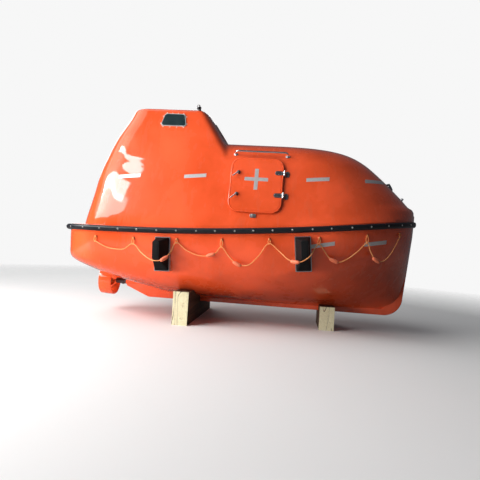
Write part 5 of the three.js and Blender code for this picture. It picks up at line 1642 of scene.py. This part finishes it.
CASING = {"aft": -1370, "fore": -570, "half": 300, "foot": 560, "top": 1200, "wall": 24}
casing_length = CASING["fore"] - CASING["aft"]
casing_frame = frame_at(FORWARD, TO_PORT, ((CASING["aft"] + CASING["fore"]) / 2, 0, 0))
casing_outline = rectangle(casing_length, 2 * CASING["half"], 45)
LID_SECTION = [
    # how far it is drawn in, depth below the top
    (CASING["wall"], 26), (20, 24), (1, 22), (0, 19), (0, 8), (2, 3), (8, 0.5), (60, 0),
]
casing_profile = [(CASING["wall"], CASING["foot"])]
casing_profile += [(inset, CASING["top"] - below_top) for inset, below_top in LID_SECTION]
LATCH_PLACES = (-1200, -740)
LATCH_Z = 1130
latch = pressed(rectangle(90, 26, 6), [(0, 0), (0, 5), (1, 6), (4, 6)])
latches = [moved(latch, frame_at(FORWARD, UPWARD, (x, CASING["wall"] - CASING["half"], LATCH_Z)))
           for x in LATCH_PLACES]
latches += [moved(latch, MIRROR) for latch in latches]
casing_shape = mesh_of(moved(pressed(casing_outline, casing_profile), casing_frame))
ROOM_SIZE = (casing_length - 80, 520, 20)
ROOM_HEIGHTS = (500, 1160)
casing_room = mesh_of(prism(rectangle(*ROOM_SIZE), -ROOM_HEIGHTS[0], ROOM_HEIGHTS[1], casing_frame))
piece("casing_cover", carved(casing_shape, ("DIFFERENCE", casing_room)), liner_gloss, "cream_liner",
      crease=40, replaces=["engine_casing"], even=False)
piece("casing_latches", latches, stainless, "stainless_steel")

SEAT_X = -1070
SEAT_BOX = (370, 400, 30)
SEAT_BOX_PROFILE = [(0, 0.5), (0, 230), (3, 236), (10, 238)]
seat_frame = frame_at(FORWARD, TO_PORT, (SEAT_X, 0, CASING["top"]))
seat_box = pressed(rectangle(*SEAT_BOX), SEAT_BOX_PROFILE)
seat_pad = stuffed(400, 440, 60, 51, 238.5)
back_frame = frame_at(TO_PORT, (-0.02, 0, 1), (-1268, 0, 1702))
seat_back = stuffed(440, 396, 70, 50, 2)
piece("helm_seat_base", seat_box, liner_gloss, "cream_liner", at=seat_frame, crease=40,
      replaces=["helm_seat"])
seat_pads = piece("helm_seat_pads", [moved(seat_pad, seat_frame), moved(seat_back, back_frame)], vinyl,
                  "black_plastic", crease=60)

CONSOLE_SECTION = [(-325, 1700), (-325, 2056), (-331, 2060), (-395, 2060), (-402, 2057), (-559, 1712),
                   (-561, 1704), (-553, 1692), (-333, 1690)]
CONSOLE_WIDTH = 516
POST_X = -505
post_frame = frame_at(FORWARD, TO_PORT, (POST_X, 0, 0))
console_post = moved(pressed(rectangle(40, 300, 12), [(0, 556), (0, 1692)]), post_frame)
console_head = slab(CONSOLE_SECTION, CONSOLE_WIDTH)
piece("helm_console_shell", [console_post, console_head], liner_gloss, "cream_liner", crease=30,
      bevel=0.006, segments=3, replaces=["helm_console"])
dash_frame = frame_at(TO_STARBOARD, (157, 0, 345), (-480.5, 0, 1884.5))
DIALS = [
    # place across, place up the slope, radius
    (-170, 80, 46),
    (170, 80, 46),
    (-170, -40, 34),
    (-95, 110, 26),
    (95, 110, 26),
    (170, -40, 34),
]
KNOBS_V = -150
KNOB_PROFILE = [(9, -2), (9, 6), (7, 8), (5, 16), (3, 17)]
dials, glasses = [], []
for u, v, radius in DIALS:
    dials.append(turned([(radius, -2), (radius, 5), (radius - 2, 7), (radius - 6, 7), (radius - 7, 4),
                         (2, 4)], u, v, 32))
    glasses.append(turned([(radius - 8, 4), (radius - 8, 5.5), (2, 5.8)], u, v, 32))
for u in (-40, 0, 40):
    dials.append(turned(KNOB_PROFILE, u, KNOBS_V, 16))
piece("helm_dials", dials, black_plastic, "black_plastic", at=dash_frame, crease=40)
piece("helm_dial_glasses", glasses, tinted, "tinted_glass", at=dash_frame, crease=40)

WHEEL_X = -655
WHEEL_Z = 1890
WHEEL_RADIUS = 165
wheel_frame = frame_at(TO_STARBOARD, UPWARD, (WHEEL_X, 0, WHEEL_Z))
rim = pipe([(u, v, 0) for u, v in circle(WHEEL_RADIUS, 72)], 12, 16, loop=True)
SPOKE_RUN = [
    # distance from the axle, distance behind the rim, radius
    (18, 12, 9), (60, 8, 8), (110, 3, 7), (160, 0, 7.5),
]
spokes = []
for a in np.radians([90, 210, 330]):
    spoke_path = [(r * math.cos(a), r * math.sin(a), -behind) for r, behind, _ in SPOKE_RUN]
    spokes.append(pipe(spoke_path, [radius for _, _, radius in SPOKE_RUN], 12))
hub = turned([(30, -26), (34, -22), (34, 8), (30, 14), (16, 18)], sides=32)
piece("wheel_rim", rim, black_plastic, "black_plastic", body="helm", at=wheel_frame, crease=60,
      replaces=["steering_wheel"])
piece("wheel_spokes", [*spokes, hub], stainless, "stainless_steel", body="helm", at=wheel_frame, crease=45)
